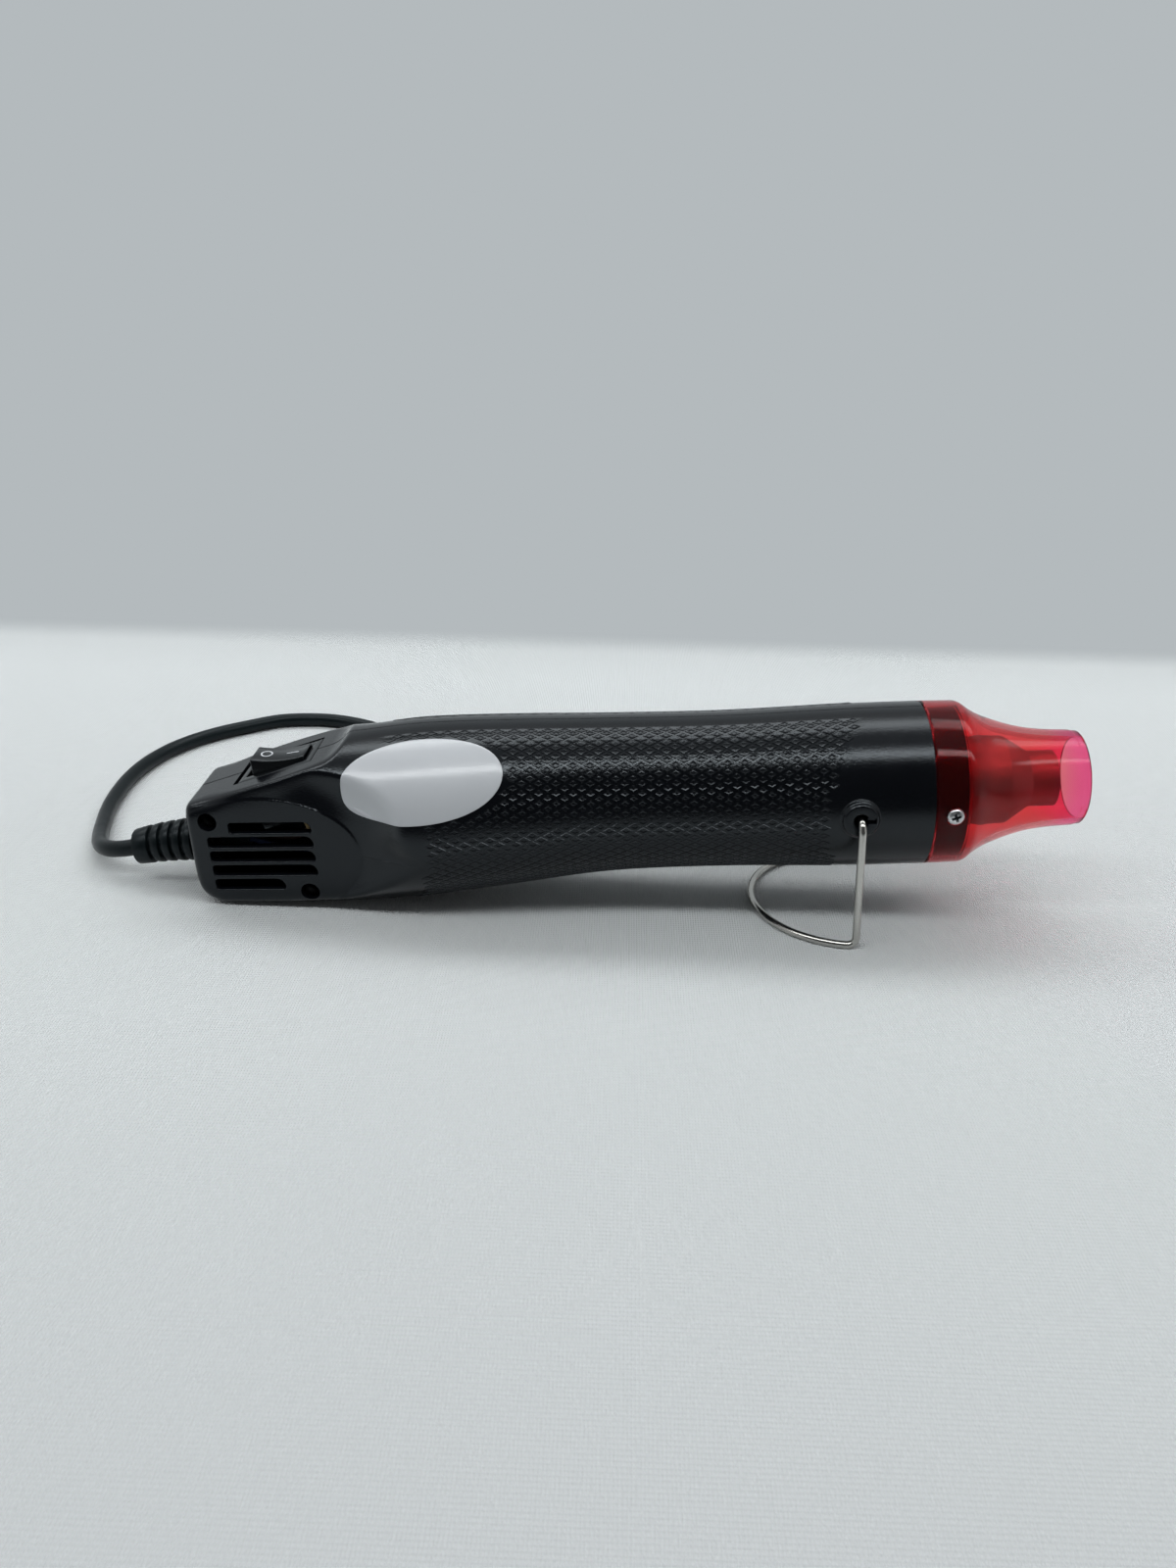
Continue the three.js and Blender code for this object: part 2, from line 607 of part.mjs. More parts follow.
function place(name, geometry, finish, parent = tool) {
  const mesh = new THREE.Mesh(closed(geometry), finish);
  mesh.name = name;
  parent.add(mesh);
  return mesh;
}

function addCasing() {
  const whole = casing(tilt);
  const half = (y0, y1) => {
    const side = solid(box(-EXTRA * 8, EXTRA * 8, y0, y1, -EXTRA * 2, EXTRA * 2));
    return geometryOf(whole.intersect(side));
  };
  place('shell_left', half(-EXTRA, -SPLIT), BLACK_PLASTIC);
  place('shell_right', half(SPLIT, EXTRA), BLACK_PLASTIC);
}

// The translucent heat shield: a ring, a hollow curve and a nearly straight tip with a small lip.
function addHeatShield() {
  const rear = BODY_FRONT + GAP;
  const outer = [
    [rear, COLLAR_RADIUS], ...SHIELD_OUTER,
    [SHIELD_FRONT - 8 * SHIELD_LIP, SHIELD_TIP_RADIUS],
    [SHIELD_FRONT - 6.4 * SHIELD_LIP, SHIELD_TIP_RADIUS - SHIELD_LIP],
    [SHIELD_FRONT, SHIELD_TIP_RADIUS - 1.2 * SHIELD_LIP],
  ];
  const inner = [
    [SHIELD_FRONT, SHIELD_TIP_RADIUS - SHIELD_WALL], ...SHIELD_INNER,
    [SPIGOT_END + 2 * GAP, COLLAR_RADIUS - SHIELD_WALL - 0.8], [SPIGOT_END + GAP, COLLAR_RADIUS - SHIELD_WALL],
    [rear, COLLAR_RADIUS - SHIELD_WALL], [rear, COLLAR_RADIUS],
  ];
  let shield = solid(turned([...outer, ...inner], SHIELD_SIDES));
  for (const side of [-1, 1]) {
    const seat = side * (COLLAR_RADIUS - SHIELD_SCREW_SINK);
    shield = shield
      .subtract(solid(barY(side * NOZZLE_RADIUS, side * EXTRA, SCREW_SHANK + GAP, SHIELD_SCREW_X, 0, 12)))
      .subtract(solid(barY(seat, side * EXTRA, SCREW_HEAD + GAP, SHIELD_SCREW_X, 0, 16)));
  }
  place('heat_shield', geometryOf(shield), RED_SHIELD);
}

// A pan head screw along Y whose head faces side.
function screw(seat, length, side, x, z) {
  const top = seat + SCREW_HEAD_HEIGHT;
  const cross = [0, 1].map((turn) => box(
    -SCREW_HEAD * 0.62, SCREW_HEAD * 0.62, top - SCREW_CROSS_DEPTH, top + 1, -SCREW_CROSS / 2, SCREW_CROSS / 2,
  ).rotateY(turn * Math.PI / 2));
  const body = union([
    barY(seat, seat + SCREW_HEAD_HEIGHT * 0.55, SCREW_HEAD, 0, 0, 12),
    barY(seat + SCREW_HEAD_HEIGHT * 0.55 - 0.01, top, SCREW_HEAD, 0, 0, 12, SCREW_HEAD * 0.7),
    barY(seat - length, seat + 0.1, SCREW_SHANK, 0, 0, 8),
  ]).subtract(solid(cross[0])).subtract(solid(cross[1]));
  const geometry = geometryOf(body);
  if (side < 0) geometry.rotateZ(Math.PI);
  return geometry.translate(x, 0, z);
}

function addScrews() {
  const seat = COLLAR_RADIUS - SHIELD_SCREW_SINK + GAP / 2;
  place('shield_screw_left', screw(seat, SHIELD_SCREW_LENGTH, -1, SHIELD_SCREW_X, 0), ZINC);
  place('shield_screw_right', screw(seat, SHIELD_SCREW_LENGTH, 1, SHIELD_SCREW_X, 0), ZINC);
  CASE_SCREWS.forEach(([x, z], k) => {
    place(`case_screw_${k + 1}`, screw(CASE_SCREW_LEDGE + GAP, CASE_SCREW_LENGTH, -1, x, z), ZINC);
  });
}

// The stand: two legs that hook into the pivots, and a half-round foot that lies flat behind them.
function addStand() {
  const foot = new THREE.Vector3(Math.sin(STAND_LEAN) * STAND_LEG, 0, -Math.cos(STAND_LEAN) * STAND_LEG);
  const leg = (side) => {
    const top = new THREE.Vector3(0, side * STAND_HALF_WIDTH, 0);
    const bottom = new THREE.Vector3(foot.x, side * STAND_HALF_WIDTH, foot.z);
    const down = bottom.clone().sub(top).normalize().multiplyScalar(STAND_BEND);
    return {
      tail: new THREE.Vector3(0, side * (STAND_HALF_WIDTH - STAND_TAIL), 0),
      hook: new THREE.Vector3(0, side * (STAND_HALF_WIDTH - STAND_BEND), 0),
      top,
      start: top.clone().add(down),
      end: bottom.clone().sub(down),
      bottom,
    };
  };
  const [near, far] = [leg(-1), leg(1)];
  const arcPoint = (angle) => new THREE.Vector3(
    foot.x - STAND_HALF_WIDTH * Math.sin(angle), -STAND_HALF_WIDTH * Math.cos(angle), foot.z,
  );
  const skip = STAND_BEND / STAND_HALF_WIDTH;
  const arcSteps = 12;
  const arcTurn = (Math.PI - 2 * skip) / arcSteps;
  const arc = Array.from({ length: arcSteps + 1 }, (_, k) => arcPoint(skip + arcTurn * k));
  const path = new THREE.CurvePath();
  path.add(new THREE.LineCurve3(near.tail, near.hook));
  path.add(new THREE.QuadraticBezierCurve3(near.hook, near.top, near.start));
  path.add(new THREE.LineCurve3(near.start, near.end));
  path.add(new THREE.QuadraticBezierCurve3(near.end, near.bottom, arc[0]));
  path.add(new THREE.CatmullRomCurve3(arc));
  path.add(new THREE.QuadraticBezierCurve3(arc[arcSteps], far.bottom, far.end));
  path.add(new THREE.LineCurve3(far.end, far.start));
  path.add(new THREE.QuadraticBezierCurve3(far.start, far.top, far.hook));
  path.add(new THREE.LineCurve3(far.hook, far.tail));
  place('stand_wire', sweep(path, WIRE_RADIUS, 8, 84), STEEL, bench).position.z = PIVOT_HEIGHT;
}

function addSwitch() {
  const frame = new THREE.Group();
  frame.applyMatrix4(switchFrame);
  tool.add(frame);
  const top = -SWITCH_SINK;
  const bottom = top - SWITCH_DEPTH;
  const pivot = top - ROCKER_PIVOT;
  const chamber = [SWITCH_LENGTH / 2 - SWITCH_WALL, CHAMBER_WIDTH / 2];
  const flange = [FLANGE_AHEAD - FLANGE_LENGTH / 2, FLANGE_AHEAD + FLANGE_LENGTH / 2];
  const housing = union([
    box(flange[0], flange[1], -FLANGE_WIDTH / 2, FLANGE_WIDTH / 2, top - FLANGE_HEIGHT, top),
    box(
      -SWITCH_LENGTH / 2, SWITCH_LENGTH / 2, -SWITCH_WIDTH / 2, SWITCH_WIDTH / 2, bottom, top - FLANGE_HEIGHT / 2,
    ),
  ])
    .subtract(solid(box(-chamber[0], chamber[0], -chamber[1], chamber[1], top - SWITCH_CHAMBER, top + 1)))
    .subtract(solid(barY(-EXTRA, EXTRA, ROCKER_STUD + GAP, 0, pivot, 12)));
  place('switch_housing', geometryOf(housing), BLACK_GLOSS, frame);

  const half = chamber[1] - GAP;
  const outline = [
    [-ROCKER_CORNER, ROCKER_TOP], [-ROCKER_CORNER + 0.5, ROCKER_TOP + 0.15],
    [-ROCKER_CORNER / 2, ROCKER_TOP - ROCKER_DIP * 0.62], [0, ROCKER_TOP - ROCKER_DIP],
    [ROCKER_CORNER / 2, ROCKER_TOP - ROCKER_DIP * 0.62],
    [ROCKER_CORNER - 0.5, ROCKER_TOP + 0.15], [ROCKER_CORNER, ROCKER_TOP],
    [ROCKER_CORNER, -ROCKER_UNDER / 2], [ROCKER_CORNER - 1, -ROCKER_UNDER],
    [-ROCKER_CORNER + 1, -ROCKER_UNDER], [-ROCKER_CORNER, -ROCKER_UNDER / 2],
  ];
  const studs = SWITCH_WIDTH / 2 - GAP;
  const rocker = union([plateY(outline.reverse(), -half, half), barY(-studs, studs, ROCKER_STUD, 0, 0, 10)]);
  const rockerMesh = place('switch_rocker', geometryOf(rocker), BLACK_GLOSS, frame);
  rockerMesh.position.z = pivot;
  rockerMesh.rotation.y = ROCKER_TILT;

  TERMINALS.forEach((x, k) => {
    const blade = box(
      x - TERMINAL_THICKNESS / 2, x + TERMINAL_THICKNESS / 2, -TERMINAL_WIDTH / 2, TERMINAL_WIDTH / 2,
      bottom - GAP - TERMINAL_LENGTH, bottom - GAP,
    );
    place(`switch_terminal_${k + 1}`, blade, BRASS, frame);
  });
}

const reliefCentre = (x) => RELIEF_Z - RELIEF_DROOP * Math.min(0, x - BODY_REAR) ** 2;

// The moulded strain relief: a flange inside the rear wall, a neck through it, and a ribbed tail that droops.
function addStrainRelief() {
  const outside = BODY_REAR - GAP;
  const end = BODY_REAR - RELIEF_LENGTH;
  const flange = BODY_REAR + WALL + GAP;
  const radius = (x) => THREE.MathUtils.mapLinear(x, outside, end, RELIEF_BODY_RADIUS, RELIEF_END_RADIUS);
  const section = (x, r) => Array.from({ length: RELIEF_SIDES }, (_, k) => {
    const angle = 2 * Math.PI * k / RELIEF_SIDES;
    return [x, r * Math.cos(angle), reliefCentre(x) + r * Math.sin(angle)];
  });
  const rings = [
    section(flange + RELIEF_FLANGE_LENGTH, RELIEF_FLANGE),
    section(flange, RELIEF_FLANGE),
    section(flange - 0.01, RELIEF_NECK),
    section(outside + 0.01, RELIEF_NECK),
    section(outside, radius(outside)),
  ];
  for (let k = 0; k < RELIEF_RIBS - 1; k++) {
    const x = outside - 1.7 - k * RELIEF_PITCH;
    rings.push(
      section(x, radius(x)),
      section(x - 0.1, radius(x) - RELIEF_GROOVE),
      section(x - RELIEF_GROOVE, radius(x) - RELIEF_GROOVE),
      section(x - RELIEF_GROOVE - 0.1, radius(x)),
    );
  }
  rings.push(section(end, radius(end)));
  place('strain_relief', loft(rings), CORD_BLACK);
}

function addFanAndMotor() {
  const hubBore = SHAFT_RADIUS + GAP;
  const bladeRoot = FAN_HUB_RADIUS - 1;
  let fan = solid(tube(FAN_X, FAN_X + FAN_LENGTH, hubBore, FAN_HUB_RADIUS, 20));
  for (let k = 0; k < FAN_BLADES; k++) {
    const blade = new THREE.BoxGeometry(FAN_BLADE_CHORD, FAN_BLADE_THICKNESS, FAN_RADIUS + 1 - bladeRoot)
      .translate(0, 0, (FAN_RADIUS + 1 + bladeRoot) / 2)
      .rotateZ(FAN_BLADE_PITCH)
      .rotateX(2 * Math.PI * k / FAN_BLADES)
      .translate(FAN_X + FAN_LENGTH / 2, 0, 0);
    fan = fan.add(solid(blade));
  }
  fan = fan.intersect(solid(rod(FAN_X, FAN_X + FAN_LENGTH, FAN_RADIUS, 28)));
  place('fan', geometryOf(fan), FAN_RED);

  const vaneRear = MOTOR_REAR + GAP;
  const sleeveInner = MOTOR_RADIUS + GAP;
  let holder = solid(tube(HOLDER_REAR, HOLDER_FRONT, DUCT_RADIUS, HOLDER_RADIUS, 28))
    .add(solid(tube(vaneRear, HOLDER_FRONT, sleeveInner, sleeveInner + HOLDER_WALL, 24)));
  const half = HOLDER_WALL / 2;
  for (let k = 0; k < HOLDER_VANES; k++) {
    holder = holder.add(solid(
      box(vaneRear, HOLDER_FRONT, -half, half, sleeveInner + half, DUCT_RADIUS + half)
        .rotateX(2 * Math.PI * k / HOLDER_VANES),
    ));
  }
  place('motor_holder', geometryOf(holder), BLACK_PLASTIC);

  const canInner = MOTOR_RADIUS - MOTOR_WALL;
  const bushSeat = MOTOR_BUSH_RADIUS + GAP;
  place('motor_can', turned([
    [MOTOR_REAR, bushSeat], [MOTOR_REAR, MOTOR_RADIUS], [MOTOR_FRONT, MOTOR_RADIUS], [MOTOR_FRONT, canInner],
    [MOTOR_REAR + MOTOR_WALL, canInner], [MOTOR_REAR + MOTOR_WALL, bushSeat], [MOTOR_REAR, bushSeat],
  ], 24), ZINC);
  const capRear = MOTOR_FRONT + GAP;
  const capFront = capRear + END_CAP_HEIGHT;
  place('motor_end_cap', turned([
    [capRear - END_CAP_SPIGOT, bushSeat], [capRear - END_CAP_SPIGOT, canInner - GAP], [capRear, canInner - GAP],
    [capRear, MOTOR_RADIUS], [capFront, MOTOR_RADIUS], [capFront, bushSeat],
    [capRear - END_CAP_SPIGOT, bushSeat],
  ], 24), BLACK_PLASTIC);
  const bushBore = SHAFT_RADIUS + SHAFT_PLAY;
  place('motor_bush_rear', tube(MOTOR_REAR - 1, MOTOR_REAR + 1.5, bushBore, MOTOR_BUSH_RADIUS, 16), BRASS);
  place('motor_bush_front', tube(capRear - END_CAP_SPIGOT, capFront, bushBore, MOTOR_BUSH_RADIUS, 16), BRASS);
  place('motor_shaft', rod(FAN_X - 1, capFront, SHAFT_RADIUS, 12), STEEL);

  const magnetOuter = canInner - GAP;
  const magnetInner = magnetOuter - MAGNET_THICKNESS;
  const armatureRadius = magnetInner - 0.4;
  const commutatorFront = capRear - END_CAP_SPIGOT - COMMUTATOR_PLAY;
  const commutatorRear = commutatorFront - COMMUTATOR_LENGTH;
  const armatureFront = commutatorRear - GAP;
  const armatureRear = armatureFront - ARMATURE_LENGTH;
  const magnetRear = armatureRear - MAGNET_OVERHANG;
  [0, 1].forEach((side) => {
    const arc = new THREE.Shape();
    const from = side * Math.PI + (Math.PI - 2 * MAGNET_ANGLE) / 2;
    arc.absarc(0, 0, magnetOuter, from, from + 2 * MAGNET_ANGLE, false);
    arc.absarc(0, 0, magnetInner, from + 2 * MAGNET_ANGLE, from, true);
    const options = { depth: MAGNET_LENGTH, bevelEnabled: false, curveSegments: 10 };
    const magnet = new THREE.ExtrudeGeometry(arc, options)
      .rotateY(Math.PI / 2).translate(magnetRear, 0, 0);
    place(`motor_magnet_${side + 1}`, magnet, MAGNET_GREY);
  });
  place('motor_armature', tube(armatureRear, armatureFront, hubBore, armatureRadius, 20), COPPER);
  place('motor_commutator', tube(commutatorRear, commutatorFront, hubBore, COMMUTATOR_RADIUS, 12), COPPER);

  const boardRear = capFront + GAP;
  const boardFront = boardRear + BOARD_THICKNESS;
  place('rectifier_board', rod(boardRear, boardFront, BOARD_RADIUS, 20), CIRCUIT_BOARD);
  const diodeX = boardFront + GAP + DIODE_RADIUS;
  DIODES.forEach((z, k) => {
    const diode = barY(-DIODE_LENGTH / 2, DIODE_LENGTH / 2, DIODE_RADIUS, diodeX, z, 10);
    place(`rectifier_diode_${k + 1}`, diode, BLACK_GLOSS);
  });
}

// The heating element is wound round two crossed mica plates inside a mica sleeve in the steel nozzle.
class Helix extends THREE.Curve {
  getPoint(t, target = new THREE.Vector3()) {
    const angle = 2 * Math.PI * COIL_TURNS * t;
    return target.set(
      COIL_START + COIL_PITCH * COIL_TURNS * t, COIL_RADIUS * Math.cos(angle), COIL_RADIUS * Math.sin(angle),
    );
  }
}

function micaOutline(rear, front, slotFrom, slotTo) {
  const tab = TAB_HALF;
  const waist = MICA_HALF;
  const slot = MICA / 2 + GAP;
  const upper = [
    [rear, tab], [rear + MICA_TAB, tab], [rear + MICA_TAB, waist], [front - MICA_TAB, waist],
    [front - MICA_TAB, tab], [front, tab],
  ];
  const lower = upper.map(([x, w]) => [x, -w]).reverse();
  if (slotFrom === 'front') {
    return [...upper, [front, slot], [slotTo, slot], [slotTo, -slot], [front, -slot], ...lower];
  }
  return [...upper, ...lower, [rear, -slot], [slotTo, -slot], [slotTo, slot], [rear, slot]];
}

function addHeater() {
  const [outer, inner] = [NOZZLE_RADIUS, NOZZLE_RADIUS - NOZZLE_WALL];
  const tip = NOZZLE_TIP_RADIUS;
  const flangeRear = NOZZLE_REAR - NOZZLE_FLANGE_THICKNESS / 2;
  const flangeFront = NOZZLE_REAR + NOZZLE_FLANGE_THICKNESS / 2;
  place('air_nozzle', turned([
    [flangeRear, inner], [flangeRear, NOZZLE_FLANGE_RADIUS], [flangeFront, NOZZLE_FLANGE_RADIUS],
    [flangeFront, outer], [NOZZLE_CONE, outer], [NOZZLE_THROAT, tip], [NOZZLE_END, tip],
    [NOZZLE_END, tip - NOZZLE_WALL], [NOZZLE_THROAT, tip - NOZZLE_WALL], [NOZZLE_CONE, inner],
    [flangeRear, inner],
  ], 28), STEEL);
  const sleeve = tube(MICA_REAR - 1, SLEEVE_FRONT, SLEEVE_RADIUS - SLEEVE_WALL, SLEEVE_RADIUS, 24);
  place('mica_sleeve', sleeve, MICA_BOARD);

  const upright = micaOutline(MICA_REAR, MICA_FRONT, 'front', MICA_CROSSING - GAP / 2);
  const tail = [[MICA_TAIL, -MICA_HALF], [MICA_TAIL, MICA_HALF], [MICA_REAR, MICA_HALF]];
  const whole = [...upright, [MICA_REAR, -MICA_HALF], ...tail];
  place('mica_plate_upright', plateY(whole.reverse(), -MICA / 2, MICA / 2), MICA_BOARD);
  const level = micaOutline(MICA_REAR, MICA_FRONT, 'rear', MICA_CROSSING + GAP / 2);
  place('mica_plate_level', plateY(level.reverse(), -MICA / 2, MICA / 2).rotateX(Math.PI / 2), MICA_BOARD);
  place('heating_coil', sweep(new Helix(), COIL_WIRE, 5, COIL_TURNS * COIL_STEPS), STEEL);

  const cutoutRear = MICA_TAIL + 2;
  const side = MICA / 2 + GAP;
  place('thermal_cutout', box(
    cutoutRear, cutoutRear + CUTOUT_LENGTH, side, side + CUTOUT_THICKNESS, -CUTOUT_WIDTH / 2, CUTOUT_WIDTH / 2,
  ), ZINC);
  place('thermal_fuse', rod(cutoutRear, cutoutRear + FUSE_LENGTH, FUSE_RADIUS, 10)
    .translate(0, -side - FUSE_RADIUS, 0), PAPER_WHITE);
}

function wire(name, points, finish) {
  const curve = new THREE.CatmullRomCurve3(points.map((p) => new THREE.Vector3(...p)));
  place(name, sweep(curve, LEAD_RADIUS, 6, 3 * points.length), finish);
}

// Leads inside the casing. They run under the fan's duct in the ribs' cable way.
function addLeads() {
  const sheathRear = BODY_REAR + WALL + 2 * GAP + RELIEF_FLANGE_LENGTH;
  const sheathFront = -160;
  const sheath = rod(sheathRear, sheathFront, CORD_DIAMETER / 2, CORD_SIDES).translate(0, 0, RELIEF_Z);
  place('cord_inner_end', sheath, CORD_BLACK);
  const terminal = (x) => new THREE.Vector3(x, 0, -SWITCH_SINK - SWITCH_DEPTH - GAP - TERMINAL_LENGTH * 0.7)
    .applyMatrix4(switchFrame).toArray();
  const half = TERMINAL_THICKNESS / 2 + 2 * GAP;
  const start = sheathFront + GAP;
  wire('live_lead', [
    [start, 1.1, RELIEF_Z], ...LIVE_ROUTE, terminal(TERMINALS[0] - half),
  ], WIRE_BROWN);
  const cutout = MICA_TAIL + 2 - GAP;
  const side = MICA / 2 + GAP;
  wire('switched_lead', [
    terminal(TERMINALS[1] + half), ...SWITCHED_ROUTE,
    [cutout - LEAD_END, side + CUTOUT_THICKNESS / 2, -LEAD_END / 2], [cutout, side + CUTOUT_THICKNESS / 2, 0],
  ], WIRE_BROWN);
  wire('neutral_lead', [
    [start, -1.1, RELIEF_Z], ...NEUTRAL_ROUTE,
    [cutout - LEAD_END, -side - FUSE_RADIUS, -LEAD_END / 2], [cutout, -side - FUSE_RADIUS, 0],
  ], WIRE_BLUE);
}

// The sticker follows the casing's skin.
function addRatingPlate() {
  const columns = 24;
  const skin = (across, down, lift) => {
    const x = PLATE_X + PLATE_HALF_LENGTH * across;
    const turn = Math.PI + PLATE_ANGLE * -1 + down * PLATE_HALF_HEIGHT / along(3, x);
    return skinPoint(x, turn, -lift);
  };
  const outline = (scale, lift) => Array.from({ length: columns }, (_, k) => {
    const angle = 2 * Math.PI * k / columns;
    return skin(scale * Math.cos(angle), scale * Math.sin(angle), lift);
  });
  const scales = [0.04, 0.25, 0.5, 0.75, 1];
  const under = scales.map((scale) => outline(scale, PLATE_LIFT));
  const over = scales.map((scale) => outline(scale, PLATE_LIFT + PLATE_THICKNESS)).reverse();
  place('rating_plate', loft([...under, ...over]), PAPER_WHITE);
}

// The supply cord's seen stretch, from the strain relief round to the back of the tool.
const CORD_ROUTE = [
  [-195.2, 0.7, 8.4], [-199.1, 2.4, 7.3], [-202.4, 5.2, 6.3], [-205.1, 9, 5.3], [-207.4, 13.8, 4.4],
  [-209.5, 19.4, 3.6], [-211.5, 25.7, 2.95], [-213.5, 32.6, 2.5], [-215.1, 40, 2.4], [-216.2, 48.6, 2.4],
  [-216.7, 58.2, 2.4], [-216.1, 67.6, 2.4], [-214.1, 76.8, 2.4], [-210.8, 85.2, 2.4], [-206, 92.8, 2.4],
  [-199.9, 99.5, 2.4], [-192.8, 105.3, 2.4], [-182.4, 112.4, 2.4], [-174, 114.4, 2.4], [-165.6, 114.6, 2.4],
  [-157.4, 112.8, 2.4], [-149.6, 109.2, 2.5], [-142, 104, 2.6], [-134.6, 97.8, 2.8], [-126.9, 91.4, 3.1],
  [-119.4, 86.2, 3.4], [-115.4, 83.8, 3.65],
];
const TIE_REST = TIE_THICKNESS + 2 * GAP;
const HANK_Z = TIE_REST + CORD_DIAMETER / 2;
const HANK_STEPS = 24;
const RUN_STEPS = 4;
const END_STEPS = 8;

// The centre of the hank's cord at a step: a run, a half-round end, the other run, the other end,
// again and again.
function hankPoint(step) {
  const total = HANK_STEPS * HANK_LOOPS + RUN_STEPS;
  const middle = total / 2;
  const radius = HANK_FOLD_RADIUS + HANK_STEP * Math.abs(step - middle) / HANK_STEPS;
  const climb = THREE.MathUtils.smoothstep(step, middle - HANK_STEPS / 4, middle + HANK_STEPS / 4);
  const phase = step % HANK_STEPS;
  const onRun = phase <= RUN_STEPS || (phase >= RUN_STEPS + END_STEPS && phase <= 2 * RUN_STEPS + END_STEPS);
  const far = phase <= RUN_STEPS || phase > 2 * RUN_STEPS + END_STEPS ? 1 : -1;
  let [x, y] = [0, 0];
  if (onRun) {
    const passed = (far > 0 ? phase : phase - RUN_STEPS - END_STEPS) / RUN_STEPS;
    x = far * HANK_HALF_RUN * (2 * passed - 1);
    y = far * (radius - HANK_WAIST * (1 + Math.cos(Math.PI * x / HANK_HALF_RUN)) / 2);
  } else {
    const first = phase < RUN_STEPS + END_STEPS;
    const turn = Math.PI * (phase - (first ? RUN_STEPS : 2 * RUN_STEPS + END_STEPS)) / END_STEPS;
    x = (first ? 1 : -1) * (HANK_HALF_RUN + radius * Math.sin(turn));
    y = (first ? 1 : -1) * radius * Math.cos(turn);
  }
  return new THREE.Vector3(HANK_X + x, HANK_Y + y, HANK_Z + HANK_LAYER * climb);
}

// A many-sided tube through points, its section kept upright.
function uprightTube(points, radius, sides) {
  const up = new THREE.Vector3(0, 0, 1);
  return loft(points.map((point, k) => {
    const next = points[Math.min(k + 1, points.length - 1)];
    const ahead = next.clone().sub(points[Math.max(k - 1, 0)]).normalize();
    const across = new THREE.Vector3().crossVectors(ahead, up).normalize();
    const rise = new THREE.Vector3().crossVectors(across, ahead);
    return Array.from({ length: sides }, (_, s) => {
      const angle = 2 * Math.PI * s / sides;
      return point.clone().addScaledVector(across, radius * Math.cos(angle))
        .addScaledVector(rise, radius * Math.sin(angle)).toArray();
    });
  }));
}

// The least gap between stretches of the hank that aren't neighbours along the cord.
function leastGap(points) {
  const fine = points.slice(0, -1)
    .flatMap((p, k) => [0, 0.25, 0.5, 0.75].map((t) => p.clone().lerp(points[k + 1], t)));
  const lengths = fine.map((p, k) => (k ? p.distanceTo(fine[k - 1]) : 0));
  const travelled = lengths.map((sum => (v) => sum += v)(0));
  let least = Infinity;
  fine.forEach((p, i) => {
    for (let j = i + 1; j < fine.length; j++) {
      if (travelled[j] - travelled[i] <= 4 * CORD_DIAMETER) continue;
      least = Math.min(least, p.distanceTo(fine[j]) - CORD_DIAMETER);
    }
  });
  return least;
}

function lengthOf(points) {
  return points.reduce((sum, p, k) => (k ? sum + p.distanceTo(points[k - 1]) : 0), 0);
}

function addCord() {
  const loops = Array.from({ length: HANK_STEPS * HANK_LOOPS + RUN_STEPS + 1 }, (_, k) => hankPoint(k));
  const first = loops[0].clone().setX(loops[0].x - HANK_END);
  const last = loops.at(-1).clone().setX(loops.at(-1).x + HANK_END);
  const hank = [first, ...loops, last];
  const reliefEnd = BODY_REAR - RELIEF_LENGTH - 2 * GAP;
  const exit = tool.localToWorld(new THREE.Vector3(reliefEnd, 0, reliefCentre(reliefEnd)));
  const lead = new THREE.CatmullRomCurve3([
    bench.worldToLocal(exit), ...CORD_ROUTE.map((p) => new THREE.Vector3(...p)),
    first.clone().setX(first.x - GAP),
  ]);
  place('cord_lead', sweep(lead, CORD_DIAMETER / 2, CORD_SIDES, 40), CORD_BLACK, bench);
  place('cord_hank', uprightTube(hank, CORD_DIAMETER / 2, HANK_SIDES), CORD_BLACK, bench);
  const tail = new THREE.CatmullRomCurve3([
    last.clone().setX(last.x + GAP),
    new THREE.Vector3(last.x + 9, last.y + 0.1, last.z - 0.4),
    new THREE.Vector3(PLUG_X - 9, PLUG_Y, PLUG_Z + 0.3),
    new THREE.Vector3(PLUG_X - GAP, PLUG_Y, PLUG_Z),
  ]);
  place('cord_tail', sweep(tail, CORD_DIAMETER / 2, CORD_SIDES, 8), CORD_BLACK, bench);
  const total = lead.getLength() + lengthOf(hank) + tail.getLength();
  console.log(`hank: least gap to itself ${leastGap(hank).toFixed(2)} mm; cord ${total.toFixed(0)} mm in all`);
}

function roundedBlock(width, height, radius) {
  const [w, h] = [width / 2 - radius, height / 2 - radius];
  const shape = new THREE.Shape();
  shape.absarc(w, h, radius, 0, Math.PI / 2, false);
  shape.absarc(-w, h, radius, Math.PI / 2, Math.PI, false);
  shape.absarc(-w, -h, radius, Math.PI, 1.5 * Math.PI, false);
  shape.absarc(w, -h, radius, 1.5 * Math.PI, 2 * Math.PI, false);
  return shape;
}

